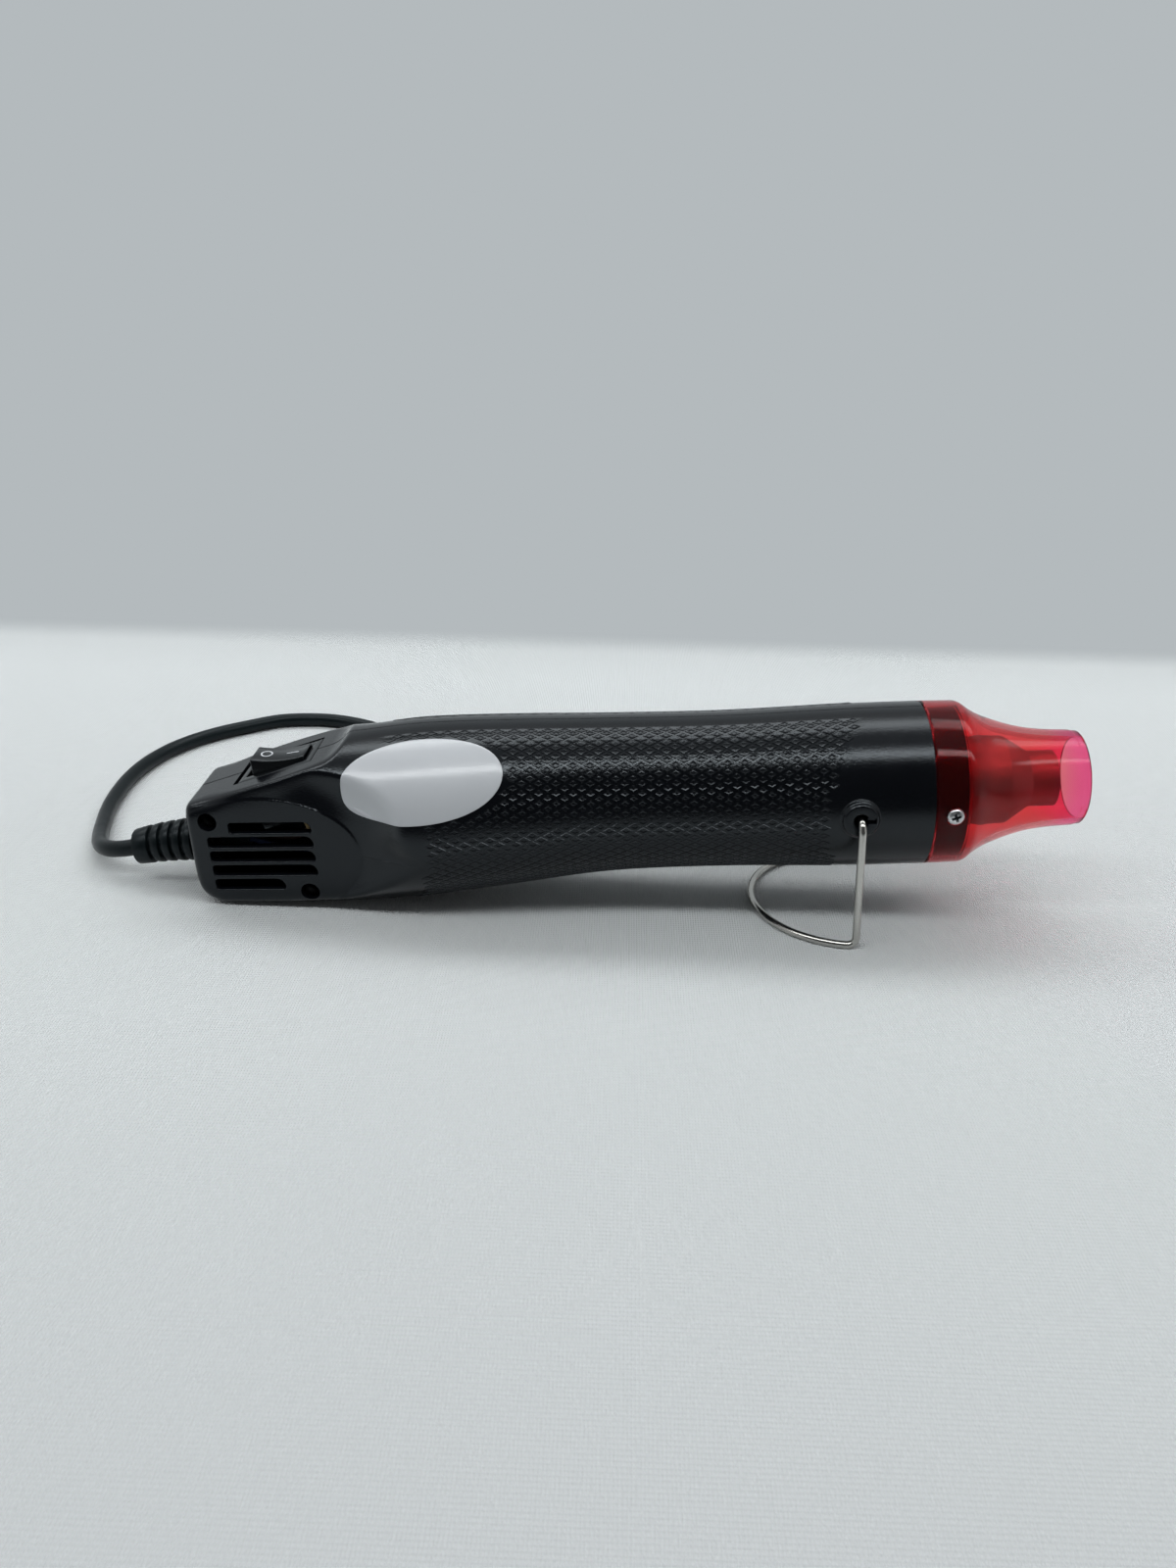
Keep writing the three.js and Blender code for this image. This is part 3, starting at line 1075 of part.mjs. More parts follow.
function addTie() {
  const outermost = HANK_FOLD_RADIUS + HANK_STEP * (HANK_LOOPS / 2 + 0.1) - HANK_WAIST;
  const innerWidth = 2 * (outermost + CORD_DIAMETER / 2 + 1.2);
  const innerHeight = HANK_LAYER + CORD_DIAMETER + 2 * GAP;
  const band = roundedBlock(
    innerWidth + 2 * TIE_THICKNESS, innerHeight + 2 * TIE_THICKNESS, 2.4 + TIE_THICKNESS,
  );
  band.holes.push(roundedBlock(innerWidth, innerHeight, 2.4));
  const middle = TIE_REST - GAP + innerHeight / 2;
  const tie = new THREE.ExtrudeGeometry(band, { depth: TIE_WIDTH, bevelEnabled: false, curveSegments: 4 })
    .rotateX(Math.PI / 2).rotateZ(Math.PI / 2)
    .translate(HANK_X - TIE_WIDTH / 2, HANK_Y, middle);
  place('cord_tie', tie, BLACK_PLASTIC, bench);
}

function addPlug() {
  const sections = [
    [0, 3, 3], [9, 4.6, 4.6], [13, 9, 6], [21, 15.4, 6.85], [28, 17.6, 6.85], [37, 17.65, 6.85],
  ];
  const rings = sections.map(([x, halfWidth, halfHeight]) => Array.from({ length: 16 }, (_, k) => {
    const angle = 2 * Math.PI * k / 16;
    const bulge = (v) => Math.sign(v) * Math.abs(v) ** 0.8;
    const [across, up] = [halfWidth * bulge(Math.cos(angle)), halfHeight * bulge(Math.sin(angle))];
    return [PLUG_X + x, PLUG_Y + across, PLUG_Z + up];
  }));
  place('plug_body', loft(rings), BLACK_PLASTIC, bench);
  const face = PLUG_X + sections.at(-1)[0] + GAP;
  [-1, 1].forEach((side, k) => {
    const tip = face + PIN_LENGTH;
    const pin = turned([[face, 0], [face, PIN_RADIUS], [tip - 1, PIN_RADIUS], [tip, 1], [tip, 0]], 12)
      .translate(0, PLUG_Y + side * PIN_SPACING / 2, PLUG_Z);
    place(`plug_pin_${k + 1}`, pin, ZINC, bench);
  });
}

addCasing();
addHeatShield();
addScrews();
addStand();
addSwitch();
addStrainRelief();
addFanAndMotor();
addHeater();
addLeads();
addRatingPlate();

// The part's origin is under the middle of the tool, without the cord and what is on it.
bench.updateMatrixWorld(true);
const extent = new THREE.Box3().setFromObject(bench, true);
const part = new THREE.Group();
part.add(bench);
bench.position.x = -(extent.min.x + extent.max.x) / 2;

addCord();
addTie();
addPlug();

export default part;
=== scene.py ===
"""Looks for the hot air tool: smooth skins, procedural finishes, the cord, and the photograph's view."""

import json
from math import atan2, copysign, cos, hypot, pi, radians, sin, sqrt, tan

import bmesh
import bpy
import numpy as np
from mathutils import Matrix, Vector


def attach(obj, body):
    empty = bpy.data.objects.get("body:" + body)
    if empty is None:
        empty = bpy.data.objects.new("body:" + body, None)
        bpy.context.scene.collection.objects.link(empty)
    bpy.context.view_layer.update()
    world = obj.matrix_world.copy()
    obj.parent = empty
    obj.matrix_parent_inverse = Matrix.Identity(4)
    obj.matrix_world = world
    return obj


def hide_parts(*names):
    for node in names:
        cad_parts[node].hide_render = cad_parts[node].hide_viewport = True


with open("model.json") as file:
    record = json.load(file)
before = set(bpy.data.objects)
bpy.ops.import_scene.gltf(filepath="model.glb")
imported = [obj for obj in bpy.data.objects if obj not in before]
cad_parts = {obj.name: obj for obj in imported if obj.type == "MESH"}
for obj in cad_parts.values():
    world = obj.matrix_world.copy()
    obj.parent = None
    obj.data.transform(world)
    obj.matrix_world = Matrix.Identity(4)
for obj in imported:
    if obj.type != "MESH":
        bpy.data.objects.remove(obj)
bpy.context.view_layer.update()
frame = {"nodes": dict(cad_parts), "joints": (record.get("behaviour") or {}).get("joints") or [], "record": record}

MM = 0.001
joints = {joint["name"]: joint for joint in frame["joints"]}
PIVOT = Vector(joints["stand_fold"]["pos_m"])
BARREL_AXIS = Vector(joints["fan_spin"]["axis"])
TILT = atan2(BARREL_AXIS.z, BARREL_AXIS.x)

# Millimetres along the barrel, across it and up from the stand's pivot, to metres in the part's frame.
TOOL = Matrix.Translation(PIVOT) @ Matrix.Rotation(-TILT, 4, "Y") @ Matrix.Scale(MM, 4)
# The same with X along the table.
BENCH = Matrix.Translation((PIVOT.x, 0, 0)) @ Matrix.Scale(MM, 4)

# Camera

CAMERA_AT = (-60.854, -285.336, 163.627)
YAW, PITCH, ROLL = (radians(a) for a in (-1.367, 24.646, 1.233))
FOCAL_PIXELS = 1216.02
FRAME_HEIGHT = 1600
SENSOR_HEIGHT = 36
CLIP_START = 0.01


def add_camera():
    """The photograph's view, with its field of view from a focal length in the picture's pixels."""
    forward = Vector((sin(YAW) * cos(PITCH), cos(YAW) * cos(PITCH), -sin(PITCH)))
    level = Vector((cos(YAW), -sin(YAW), 0))
    upright = level.cross(forward)
    right = level * cos(ROLL) + upright * sin(ROLL)
    up = -level * sin(ROLL) + upright * cos(ROLL)
    data = bpy.data.cameras.new("camera")
    data.sensor_fit = "VERTICAL"
    data.sensor_height = SENSOR_HEIGHT
    data.lens = FOCAL_PIXELS / FRAME_HEIGHT * SENSOR_HEIGHT
    data.clip_start = CLIP_START
    camera = bpy.data.objects.new("camera", data)
    turn = Matrix((right, up, -forward)).transposed().to_4x4()
    camera.matrix_world = Matrix.Translation(BENCH @ Vector(CAMERA_AT)) @ turn
    bpy.context.scene.collection.objects.link(camera)
    bpy.context.scene.camera = camera


# Meshes

# A turned profile's points on the axis are this far from it, so that the ring keeps its faces
LEAST_RADIUS = 1e-5
# Points nearer than this, in metres, are one
SAME_POINT = 1e-8


def mesh_piece(name, points, faces, place=None, sharp=35):
    """A piece in the scene, smooth up to so many degrees, with its points put into the part's frame."""
    mesh = bpy.data.meshes.new(name)
    mesh.from_pydata([tuple(p) for p in points], [], faces)
    if place is not None:
        mesh.transform(place)
    mesh.update()
    piece = bpy.data.objects.new(name, mesh)
    bpy.context.scene.collection.objects.link(piece)
    soften(piece, sharp)
    return piece


def soften(piece, sharp):
    piece.data.shade_smooth()
    piece.data.set_sharp_from_angle(angle=radians(sharp))


def grid_faces(rows, columns):
    """Faces between rows of points, each row a closed ring."""
    faces = []
    for r in range(rows - 1):
        for c in range(columns):
            d = (c + 1) % columns
            faces.append((r * columns + c, r * columns + d, (r + 1) * columns + d, (r + 1) * columns + c))
    return faces


def end_faces(rows, columns):
    return [tuple(reversed(range(columns))), tuple(range((rows - 1) * columns, rows * columns))]


def skin_of_rings(name, rings, place, sharp=35, caps=True):
    """A skin over rings of points, closed at both ends unless caps is off."""
    rings = np.asarray(rings, float)
    rows, columns = rings.shape[:2]
    faces = grid_faces(rows, columns)
    if caps:
        faces += end_faces(rows, columns)
    piece = mesh_piece(name, rings.reshape(-1, 3), faces, place, sharp)
    fix_normals(piece)
    return piece


def fix_normals(piece):
    bm = bmesh.new()
    bm.from_mesh(piece.data)
    bmesh.ops.remove_doubles(bm, verts=bm.verts, dist=SAME_POINT)
    bmesh.ops.recalc_face_normals(bm, faces=bm.faces)
    bm.to_mesh(piece.data)
    bm.free()


def rounded(profile, radius, steps=4):
    """A line whose corners are turned with a small radius."""
    points = [np.array(p, float) for p in profile]
    out = [points[0]]
    for before, here, after in zip(points, points[1:], points[2:]):
        r = min(radius, 0.45 * np.linalg.norm(before - here), 0.45 * np.linalg.norm(after - here))
        out += bend(here + unit(before - here) * r, here, here + unit(after - here) * r, steps, 0)
    return out + [points[-1]]


def bend(a, corner, b, steps=8, first=1):
    """A turn from a to b that leans on the corner, without its first point unless first is 0."""
    shares = np.linspace(0, 1, steps + 1)[first:]
    return [(1 - t) ** 2 * a + 2 * t * (1 - t) * corner + t * t * b for t in shares]


def unit(v):
    return v / np.linalg.norm(v)


def turned(name, profile, sides, place, axis="X", sharp=35, caps=True):
    """A profile of (along, radius) turned about the X or Y axis of its frame."""
    rings = []
    for at, radius in profile:
        a, b = np.transpose(circle(max(radius, LEAST_RADIUS), sides))
        flat = np.full(sides, at)
        rings.append(np.stack([flat, a, b] if axis == "X" else [b, flat, a], 1))
    return skin_of_rings(name, rings, place, sharp, caps)


def hoop(name, profile, sides, place, axis="X", sharp=35):
    """A closed profile turned into a ring."""
    return turned(name, list(profile) + [profile[0]], sides, place, axis, sharp, caps=False)


def swept(name, path, section, place, sharp):
    """A section of (across, up) points carried along a path without twisting, with flat ends."""
    path = np.asarray(path, float)
    tangents = np.gradient(path, axis=0)
    tangents /= np.linalg.norm(tangents, axis=1)[:, None]
    up = np.array((0, 0, 1.0))
    rings = []
    for point, ahead in zip(path, tangents):
        up = unit(up - ahead * np.dot(up, ahead))
        across = np.cross(ahead, up)
        rings.append([point + a * across + b * up for a, b in section])
    return skin_of_rings(name, rings, place, sharp)


def circle(radius, sides):
    return [(radius * cos(a), radius * sin(a)) for a in np.arange(sides) * 2 * pi / sides]


def hermite(t, p0, m0, p1, m1):
    """A point between p0 and p1 of a curve that has the slopes m0 and m1 there."""
    t2, t3 = t * t, t * t * t
    return (2 * t3 - 3 * t2 + 1) * p0 + (t3 - 2 * t2 + t) * m0 + (3 * t2 - 2 * t3) * p1 + (t3 - t2) * m1


def smooth_line(points, per):
    """A centripetal curve through the points, with so many steps between two of them."""
    p = np.asarray(points, float)
    p = np.vstack([2 * p[0] - p[1], p, 2 * p[-1] - p[-2]])
    out = []
    for i in range(1, len(p) - 2):
        p0, p1, p2, p3 = p[i - 1 : i + 3]
        d = [max(np.linalg.norm(b - a), 1e-9) ** 0.5 for a, b in ((p0, p1), (p1, p2), (p2, p3))]
        m1 = d[1] * ((p1 - p0) / d[0] - (p2 - p0) / (d[0] + d[1]) + (p2 - p1) / d[1])
        m2 = d[1] * ((p2 - p1) / d[1] - (p3 - p1) / (d[1] + d[2]) + (p3 - p2) / d[2])
        out += [hermite(t, p1, m1, p2, m2) for t in np.arange(per) / per]
    return np.array(out + [p[-2]])


def cut(piece, cutters, sharp=35):
    """Takes the cutters out of the piece, then drops them."""
    for cutter in cutters:
        modifier = piece.modifiers.new("cut", "BOOLEAN")
        modifier.operation = "DIFFERENCE"
        modifier.solver = "MANIFOLD"
        modifier.object = cutter
    graph = bpy.context.evaluated_depsgraph_get()
    made = bpy.data.meshes.new_from_object(piece.evaluated_get(graph))
    piece.modifiers.clear()
    made.materials.clear()
    made.polygons.foreach_set("material_index", [0] * len(made.polygons))
    old = piece.data
    piece.data = made
    bpy.data.meshes.remove(old)
    for cutter in cutters:
        bpy.data.objects.remove(cutter)
    soften(piece, sharp)


def slab(name, outline, y0, y1, place):
    """An outline of (x, z) points made thick along Y."""
    rings = [[(x, y, z) for x, z in outline] for y in (y0, y1)]
    return skin_of_rings(name, rings, place)


def bar_y(name, x, z, radius, y0, y1, place, sides=48):
    """A round bar along Y."""
    return slab(name, [(x + a, z + b) for a, b in circle(radius, sides)], y0, y1, place)


def rounded_outline(x0, x1, y0, y1, radius, steps):
    """A rectangle's outline with rounded corners."""
    low_x, high_x, low_y, high_y = x0 + radius, x1 - radius, y0 + radius, y1 - radius
    corners = ((high_x, high_y), (low_x, high_y), (low_x, low_y), (high_x, low_y))
    return corner_arcs([(*corner, radius) for corner in corners], steps)


def corner_arcs(corners, steps):
    """A quarter turn of points about each of four (x, y, radius), which come in the order of their turns."""
    points = []
    for turn, (x, y, radius) in enumerate(corners):
        for k in range(steps + 1):
            a = radians(90 * turn + 90 * k / steps)
            points.append((x + radius * cos(a), y + radius * sin(a)))
    return points


def rounded_box(name, half, lift, radius, place):
    """A box of half sizes with rounded upright edges, lifted off its frame's middle."""
    x, y, z = half
    outline = rounded_outline(-x, x, -y, y, radius, 4)
    return skin_of_rings(name, [[(a, b, lift + h) for a, b in outline] for h in (-z, z)], place)


def settle(piece, finish, body, slot, *nodes):
    """Gives a piece its finish and the body that it rides, and hides the CAD nodes that it stands for. The slot is
    not used.
    """
    piece.data.materials.append(finish)
    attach(piece, body)
    if nodes:
        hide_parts(*nodes)


# Finishes


def material(name, color, roughness, **sockets):
    made = bpy.data.materials.new(name)
    made.use_nodes = True
    n = Nodes(made)
    n.fill(n.shader, {"Base Color": color, "Roughness": roughness})
    n.fill(n.shader, {key.replace("_", " "): value for key, value in sockets.items()})
    return made


class Nodes:
    """Short calls for the nodes of a material or of the world."""

    def __init__(self, owner):
        self.tree = owner.node_tree
        self.shader = self.tree.nodes.get("Principled BSDF")

    def fill(self, node, inputs):
        """Sets a node's inputs, of which each is a number, a colour or another node's output."""
        for key, value in inputs.items():
            socket = node.inputs[key]
            if isinstance(value, bpy.types.NodeSocket):
                self.tree.links.new(value, socket)
            elif socket.type == "RGBA":
                socket.default_value = (*value, 1)
            else:
                socket.default_value = value

    def add(self, kind, inputs=None, **values):
        node = self.tree.nodes.new(kind)
        for key, value in values.items():
            setattr(node, key, value)
        self.fill(node, inputs or {})
        return node

    def math(self, operation, *values):
        return self.add("ShaderNodeMath", dict(enumerate(values)), operation=operation).outputs[0]

    def place(self, kind="Object"):
        return self.add("ShaderNodeTexCoord").outputs[kind]

    def axes(self, vector):
        return tuple(self.add("ShaderNodeSeparateXYZ", {0: vector}).outputs)

    def noise(self, scale, detail, stretch=None):
        place = self.place()
        if stretch:
            place = self.add("ShaderNodeMapping", {"Vector": place, "Scale": stretch}).outputs[0]
        inputs = {"Vector": place, "Scale": scale, "Detail": detail}
        return self.add("ShaderNodeTexNoise", inputs).outputs["Fac"]

    def span(self, value, low, high, to_low=0.0, to_high=1.0, smooth=False):
        inputs = {"Value": value, "From Min": low, "From Max": high, "To Min": to_low, "To Max": to_high}
        kind = "SMOOTHSTEP" if smooth else "LINEAR"
        return self.add("ShaderNodeMapRange", inputs, interpolation_type=kind).outputs["Result"]

    def mix(self, factor, a, b):
        """The mix node has its colours at sockets 6 and 7, and their mix at output 2."""
        return self.add("ShaderNodeMix", {0: factor, 6: a, 7: b}, data_type="RGBA").outputs[2]

    def mixed_shader(self, factor, a, b):
        return self.add("ShaderNodeMixShader", {0: factor, 1: a, 2: b}).outputs[0]

    def bump(self, height, distance):
        """Turns the surface by a height, whose full swing is so many metres."""
        node = self.add("ShaderNodeBump", {"Height": height, "Distance": distance, "Strength": 1.0})
        self.fill(self.shader, {"Normal": node.outputs["Normal"]})

    def color(self, source):
        self.fill(self.shader, {"Base Color": source})

    def roughness(self, source):
        self.fill(self.shader, {"Roughness": source})


def moulded(name, dark, light, rough, spread=(0.05, 0.06), cloud=(60, 4, 0.35, 0.65), gloss=(140, 3),
            grain=3500, depth=0.00003, **sockets):
    """Moulded plastic: an even colour with a faint cloud in it, and a fine spark-eroded grain."""
    made = material(name, dark, rough, **sockets)
    n = Nodes(made)
    scale, detail, low, high = cloud
    n.color(n.mix(n.span(n.noise(scale, detail), low, high), dark, light))
    n.roughness(n.span(n.noise(*gloss), 0.3, 0.7, rough - spread[0], rough + spread[1]))
    n.bump(n.noise(grain, 2), depth)
    return made


def metal(name, color, rough, brushed=(1, 1, 1), depth=0.000015):
    """Metal with fine lines or spots in its gloss and its surface."""
    made = material(name, color, rough, Metallic=1.0)
    n = Nodes(made)
    lines = n.noise(900, 3, brushed)
    n.roughness(n.span(lines, 0.3, 0.7, rough - 0.06, rough + 0.1))
    n.color(n.mix(n.span(n.noise(70, 4), 0.35, 0.7), color, tuple(0.86 * c for c in color)))
    n.bump(lines, depth)
    return made


# Along the part's X, in metres: where the shield's thick ring ends in the flare, and the flare in the mouth
SHIELD_FLARE_X = (0.0925, 0.099)
SHIELD_MOUTH_X = (0.1135, 0.1225)
SHIELD_RING, SHIELD_RING_DEEP = (0.72, 0.07, 0.08), (0.66, 0.06, 0.07)
SHIELD_FLARE = (0.93, 0.22, 0.23)
SHIELD_MOUTH = (1.0, 0.12, 0.29)

BLACK = (0.0020, 0.0025, 0.0038)
BLACK_LIGHT = (0.0028, 0.0034, 0.0049)
# Black plastic gives back the light a little cooler
COOL = (0.87, 0.95, 1.0)
# Roughness between the diamonds against that of the plain skin
LATTICE_GLOSS = 0.58


def casing_finish(name="casing_plastic", rough=0.16, depth=0.000045):
    """Black plastic with a fine grain, cooler in its reflections and glossier between the diamonds."""
    made = moulded(name, BLACK, BLACK_LIGHT, rough, (0.025, 0.025), grain=2300, depth=depth,
                   Specular_IOR_Level=0.36, Specular_Tint=COOL)
    n = Nodes(made)
    cloud = n.shader.inputs["Roughness"].links[0].from_socket
    grip = n.add("ShaderNodeAttribute", attribute_name="grip").outputs["Fac"]
    n.roughness(n.math("MULTIPLY", cloud, n.span(grip, 0.2, 0.9, 1.0, LATTICE_GLOSS)))
    return made


def shield_finish():
    """Translucent red plastic, deep where the wall is thick and clearer towards the mouth."""
    made = material("red_shield_plastic", (0.86, 0.2, 0.22), 0.1, IOR=1.22)
    n = Nodes(made)
    x = n.axes(n.place())[0]
    ring = n.mix(n.span(n.noise(25, 3), 0.3, 0.7), SHIELD_RING, SHIELD_RING_DEEP)
    flare = n.mix(n.span(x, *SHIELD_FLARE_X, smooth=True), ring, SHIELD_FLARE)
    n.color(n.mix(n.span(x, *SHIELD_MOUTH_X, smooth=True), flare, SHIELD_MOUTH))
    n.fill(n.shader, {"Transmission Weight": n.span(x, *SHIELD_MOUTH_X, 0.98, 0.99, smooth=True)})
    n.roughness(n.span(n.noise(300, 3), 0.35, 0.7, 0.03, 0.06))
    n.bump(n.noise(90, 2), 0.00003)
    return made


# The casing's skin, in tool millimetres

SIDES = ((-1, "left"), (1, "right"))
REAR = -171.5
FRONT = 18.4
WALL = 1.9
HALF_GAP = 0.13
PARTING_RADIUS = 0.3
REAR_EDGE_RADIUS = 2.0
REAR_CORNER_RADIUS = 7.0
SLOPE = radians(16)
SLOPE_REAR_Z = 5.27
SLOPE_END_X = -134.5
SLOPE_END_RADIUS = 10.0
SLOPE_END_ANGLE = radians(50)
SLOPE_EDGE = 1.3
SIDE_EDGE = 1.6
BLOCK_END = -122.0
COLLAR_RADIUS = 21.15
SPIGOT_RADIUS = 19.2
SPIGOT_END = 26.6
NOZZLE_RADIUS = 11.5

# Along the barrel: X, top, bottom, half width, middle line, and how square the upper and lower halves are
STATIONS = np.array([
    [-172, 8.3, -24, 15.2, -8, 3.2, 4.5],
    [-164, 9.5, -24, 16.8, -8, 3.2, 4.5],
    [-152, 17, -24.8, 16.4, -8, 3.2, 4.5],
    [-140, 18.5, -25.7, 18.3, -6, 3, 3.2],
    [-126, 19.8, -26.4, 21.9, -4, 2.1, 2.3],
    [-110, 21.2, -26, 23.6, -2.4, 2, 2],
    [-88, 21.3, -23.6, 22.4, -1.2, 2, 2],
    [-62, 20.75, -20.75, 20.75, 0, 2, 2],
    [-32, 20.4, -20.3, 20.35, 0, 2, 2],
    [0, 21.1, -21.1, 21.1, 0, 2, 2],
    [FRONT, COLLAR_RADIUS, -COLLAR_RADIUS, COLLAR_RADIUS, 0, 2, 2],
])


def along(column, x):
    """A column of the stations at a place along the barrel, on a smooth curve through them."""
    at, values = STATIONS[:, 0], STATIONS[:, column]
    k = int(np.clip(np.searchsorted(at, x, side="right") - 1, 0, len(at) - 2))
    span = at[k + 1] - at[k]

    def slope(j):
        before, after = max(j - 1, 0), min(j + 1, len(at) - 1)
        return (values[after] - values[before]) / (at[after] - at[before])

    t = min(max((x - at[k]) / span, 0), 1)
    return hermite(t, values[k], span * slope(k), values[k + 1], span * slope(k + 1))


def draw_in(x, radius):
    """How far an edge of this radius at the casing's rear draws the skin in."""
    rest = radius - min(x - REAR, radius)
    return radius - sqrt(max(radius * radius - rest * rest, 0))


def soft_min(a, b, width):
    """The smaller of two, rounded over where they meet."""
    h = np.maximum(width - np.abs(a - b), 0) / width
    return np.minimum(a, b) - h * h * width * 0.25


def slope_z(x):
    return SLOPE_REAR_Z + (x - REAR) * tan(SLOPE)


def slope_limit(x):
    """The height of the switch's sloping face, which turns up to the ridge at its front."""
    if x <= SLOPE_END_X:
        return slope_z(x)
    cx = SLOPE_END_X - SLOPE_END_RADIUS * sin(SLOPE)
    cz = slope_z(SLOPE_END_X) + SLOPE_END_RADIUS * cos(SLOPE)
    end_x = cx + SLOPE_END_RADIUS * sin(SLOPE_END_ANGLE)
    end_z = cz - SLOPE_END_RADIUS * cos(SLOPE_END_ANGLE)
    if x < end_x:
        return cz - sqrt(SLOPE_END_RADIUS ** 2 - (x - cx) ** 2)
    return end_z + (x - end_x) * tan(SLOPE_END_ANGLE)


# The vent panel: where its D starts and its middle's height, its size, its plane, and the steps round it
PANEL_X, PANEL_Z = -151.0, -9.0
PANEL_LENGTH, PANEL_HEIGHT = 24.6, 16.5
PANEL_PROUD = 0.3
PANEL_Y, PANEL_WIDENS, PANEL_Y_AT = 15, 0.04, -150
PANEL_UNDERCUT = 0.22
PANEL_BLEND = 0.6
PANEL_STEP = 0.5
# How the side goes on round the panel: out at the front, in above it, and less so further up
PANEL_SWELL = 0.45
PANEL_LEAN, PANEL_LEAN_OVER = 0.42, 13
PANEL_ARCH = 0.035


def smooth_step(value):
    t = np.clip(value, 0, 1)
    return t * t * (3 - 2 * t)


def panel_y(x):
    return PANEL_Y + PANEL_WIDENS * (x - PANEL_Y_AT)


def panel_limit(x, z):
    """The vent panel is a flat D. Above it the side leans in under a small step, and ahead it swells out."""
    dx, dz = max(x - PANEL_X, 0.0), z - PANEL_Z
    reach = np.maximum(np.hypot(dx / PANEL_LENGTH, dz / PANEL_HEIGHT), 1e-6)
    nx, nz = dx / PANEL_LENGTH ** 2, dz / PANEL_HEIGHT ** 2
    size = np.hypot(nx, nz) / reach
    nx, nz = nx / reach / np.maximum(size, 1e-9), nz / reach / np.maximum(size, 1e-9)
    beyond = (reach - 1) / np.maximum(size, 1e-9)
    if x < PANEL_X:
        beyond = np.where(dz > 0, dz - PANEL_HEIGHT + 0.011 * (x - PANEL_X) ** 2, -1)
    far = np.maximum(beyond, 0)
    far = np.sqrt(far * far + PANEL_BLEND ** 2) - PANEL_BLEND
    upper = smooth_step(nz / 0.5)
    lean = PANEL_LEAN * smooth_step((x - PANEL_Y_AT) / PANEL_LEAN_OVER)
    step = smooth_step(beyond / PANEL_STEP)
    slant = PANEL_SWELL * nx ** 3 - lean * nz
    over = slant * far + PANEL_ARCH * upper * far * far - PANEL_PROUD * upper * step
    swell = PANEL_SWELL * np.minimum(1 / np.maximum(nx, 1e-3), 2)
    under = swell * far - PANEL_UNDERCUT * step * smooth_step(nx / 0.5)
    return panel_y(x) + np.where(nz > 0, over, under)


def skin_radius(x, angle):
    """Distance of the skin from the barrel's middle line at an angle above the horizontal."""
    middle = along(4, x)
    edge = draw_in(x, REAR_EDGE_RADIUS)
    half = along(3, x) - edge
    c, s = np.abs(np.cos(angle)), np.sin(angle)
    top = along(1, x) - middle - edge
    bottom = middle - along(2, x) - draw_in(x, REAR_CORNER_RADIUS)
    tall = np.where(s >= 0, top, bottom)
    power = np.where(s >= 0, along(5, x), along(6, x))
    radius = ((c / half) ** power + (np.abs(s) / tall) ** power) ** (-1 / power)
    plain = radius
    # The side's limit hangs on the height that the radius gives, so it is found in three rounds
    for _ in range(3):
        side = (panel_limit(x, middle + radius * s) - edge) / np.maximum(c, 1e-3)
        radius = soft_min(plain, side, SIDE_EDGE)
    slope = (slope_limit(x) - draw_in(x, SLOPE_EDGE) - middle) / np.maximum(s, 1e-3)
    return np.where(s > 0.02, soft_min(radius, slope, SLOPE_EDGE), radius)


def skin_point(x, angle, lift):
    radius = float(skin_radius(x, np.array([angle]))[0]) + lift
    return np.array([x, radius * cos(angle), along(4, x) + radius * sin(angle)])


# Distances from the parting line at which the skin is drawn, across its rounded edge
NEAR_EDGE = HALF_GAP + np.array([0, 0.015, 0.05, 0.1, 0.17, 0.26, 0.4, 0.62])
TABLE_ROOM = 0.01


def table_z(x):
    """The table's height in the tilted tool's own frame, with a hair of room."""
    return (TABLE_ROOM - PIVOT.z / MM - x * sin(TILT)) / cos(TILT)


def half_ring(x, side, count):
    """Points of one half's skin from the bottom to the top, with the angles they lie at."""
    bottom, top = skin_radius(x, np.array([-pi / 2, pi / 2]))
    low = -pi / 2 + np.arctan(NEAR_EDGE / bottom)
    high = pi / 2 - np.arctan(NEAR_EDGE[::-1] / top)
    angles = np.concatenate([low, np.linspace(low[-1], high[0], count)[1:-1], high])
    radius = skin_radius(x, angles)
    radius = radius - GRIP_SINK * grip_share(x, angles, radius)
    y = np.maximum(radius * np.cos(angles), HALF_GAP)
    y[0] = y[-1] = HALF_GAP
    rim = np.clip(PARTING_RADIUS - (y - HALF_GAP), 0, PARTING_RADIUS)
    dip = PARTING_RADIUS - np.sqrt(PARTING_RADIUS ** 2 - rim ** 2)
    z = along(4, x) + radius * np.sin(angles) - np.sign(np.sin(angles)) * dip
    z = np.maximum(z, table_z(x))
    return np.stack([np.full(len(y), x), side * y, z], 1), angles, radius


def skin_places(fine, coarse):
    """Where along the barrel the skin is drawn: closest at the rear edge, then fine over the rear block."""
    edge = REAR + np.array([0, 0.02, 0.08, 0.2, 0.38, 0.6, 0.9, 1.25, 1.65, 2.05, 2.5])
    rear = np.arange(edge[-1] + fine, BLOCK_END, fine)
    front = np.linspace(BLOCK_END, FRONT - 0.25, int((FRONT - BLOCK_END) / coarse))
    return np.concatenate([edge, rear, front])


# The grip's front and rear ends, as X at degrees above the horizontal, its strip under the block, and how
# far the skin between the diamonds lies below the plain skin
GRIP_RIGHT = np.array([
    [-90, -3.2], [-44, -5.4], [-18, -7.1], [10, -7.4], [29, -5.3], [48, -2.5], [74, 1.6], [90, 3],
])
GRIP_LEFT = np.array([[-90, -113], [-45, -111], [-10, -108], [20, -108], [45, -112], [65, -118], [90, -121]])
GRIP_UNDER_X = (-166, -100)
GRIP_UNDER_ANGLE = radians(-62)
GRIP_TOP_MARGIN = 5.2
GRIP_FADE = 0.8
GRIP_SINK = 0.1


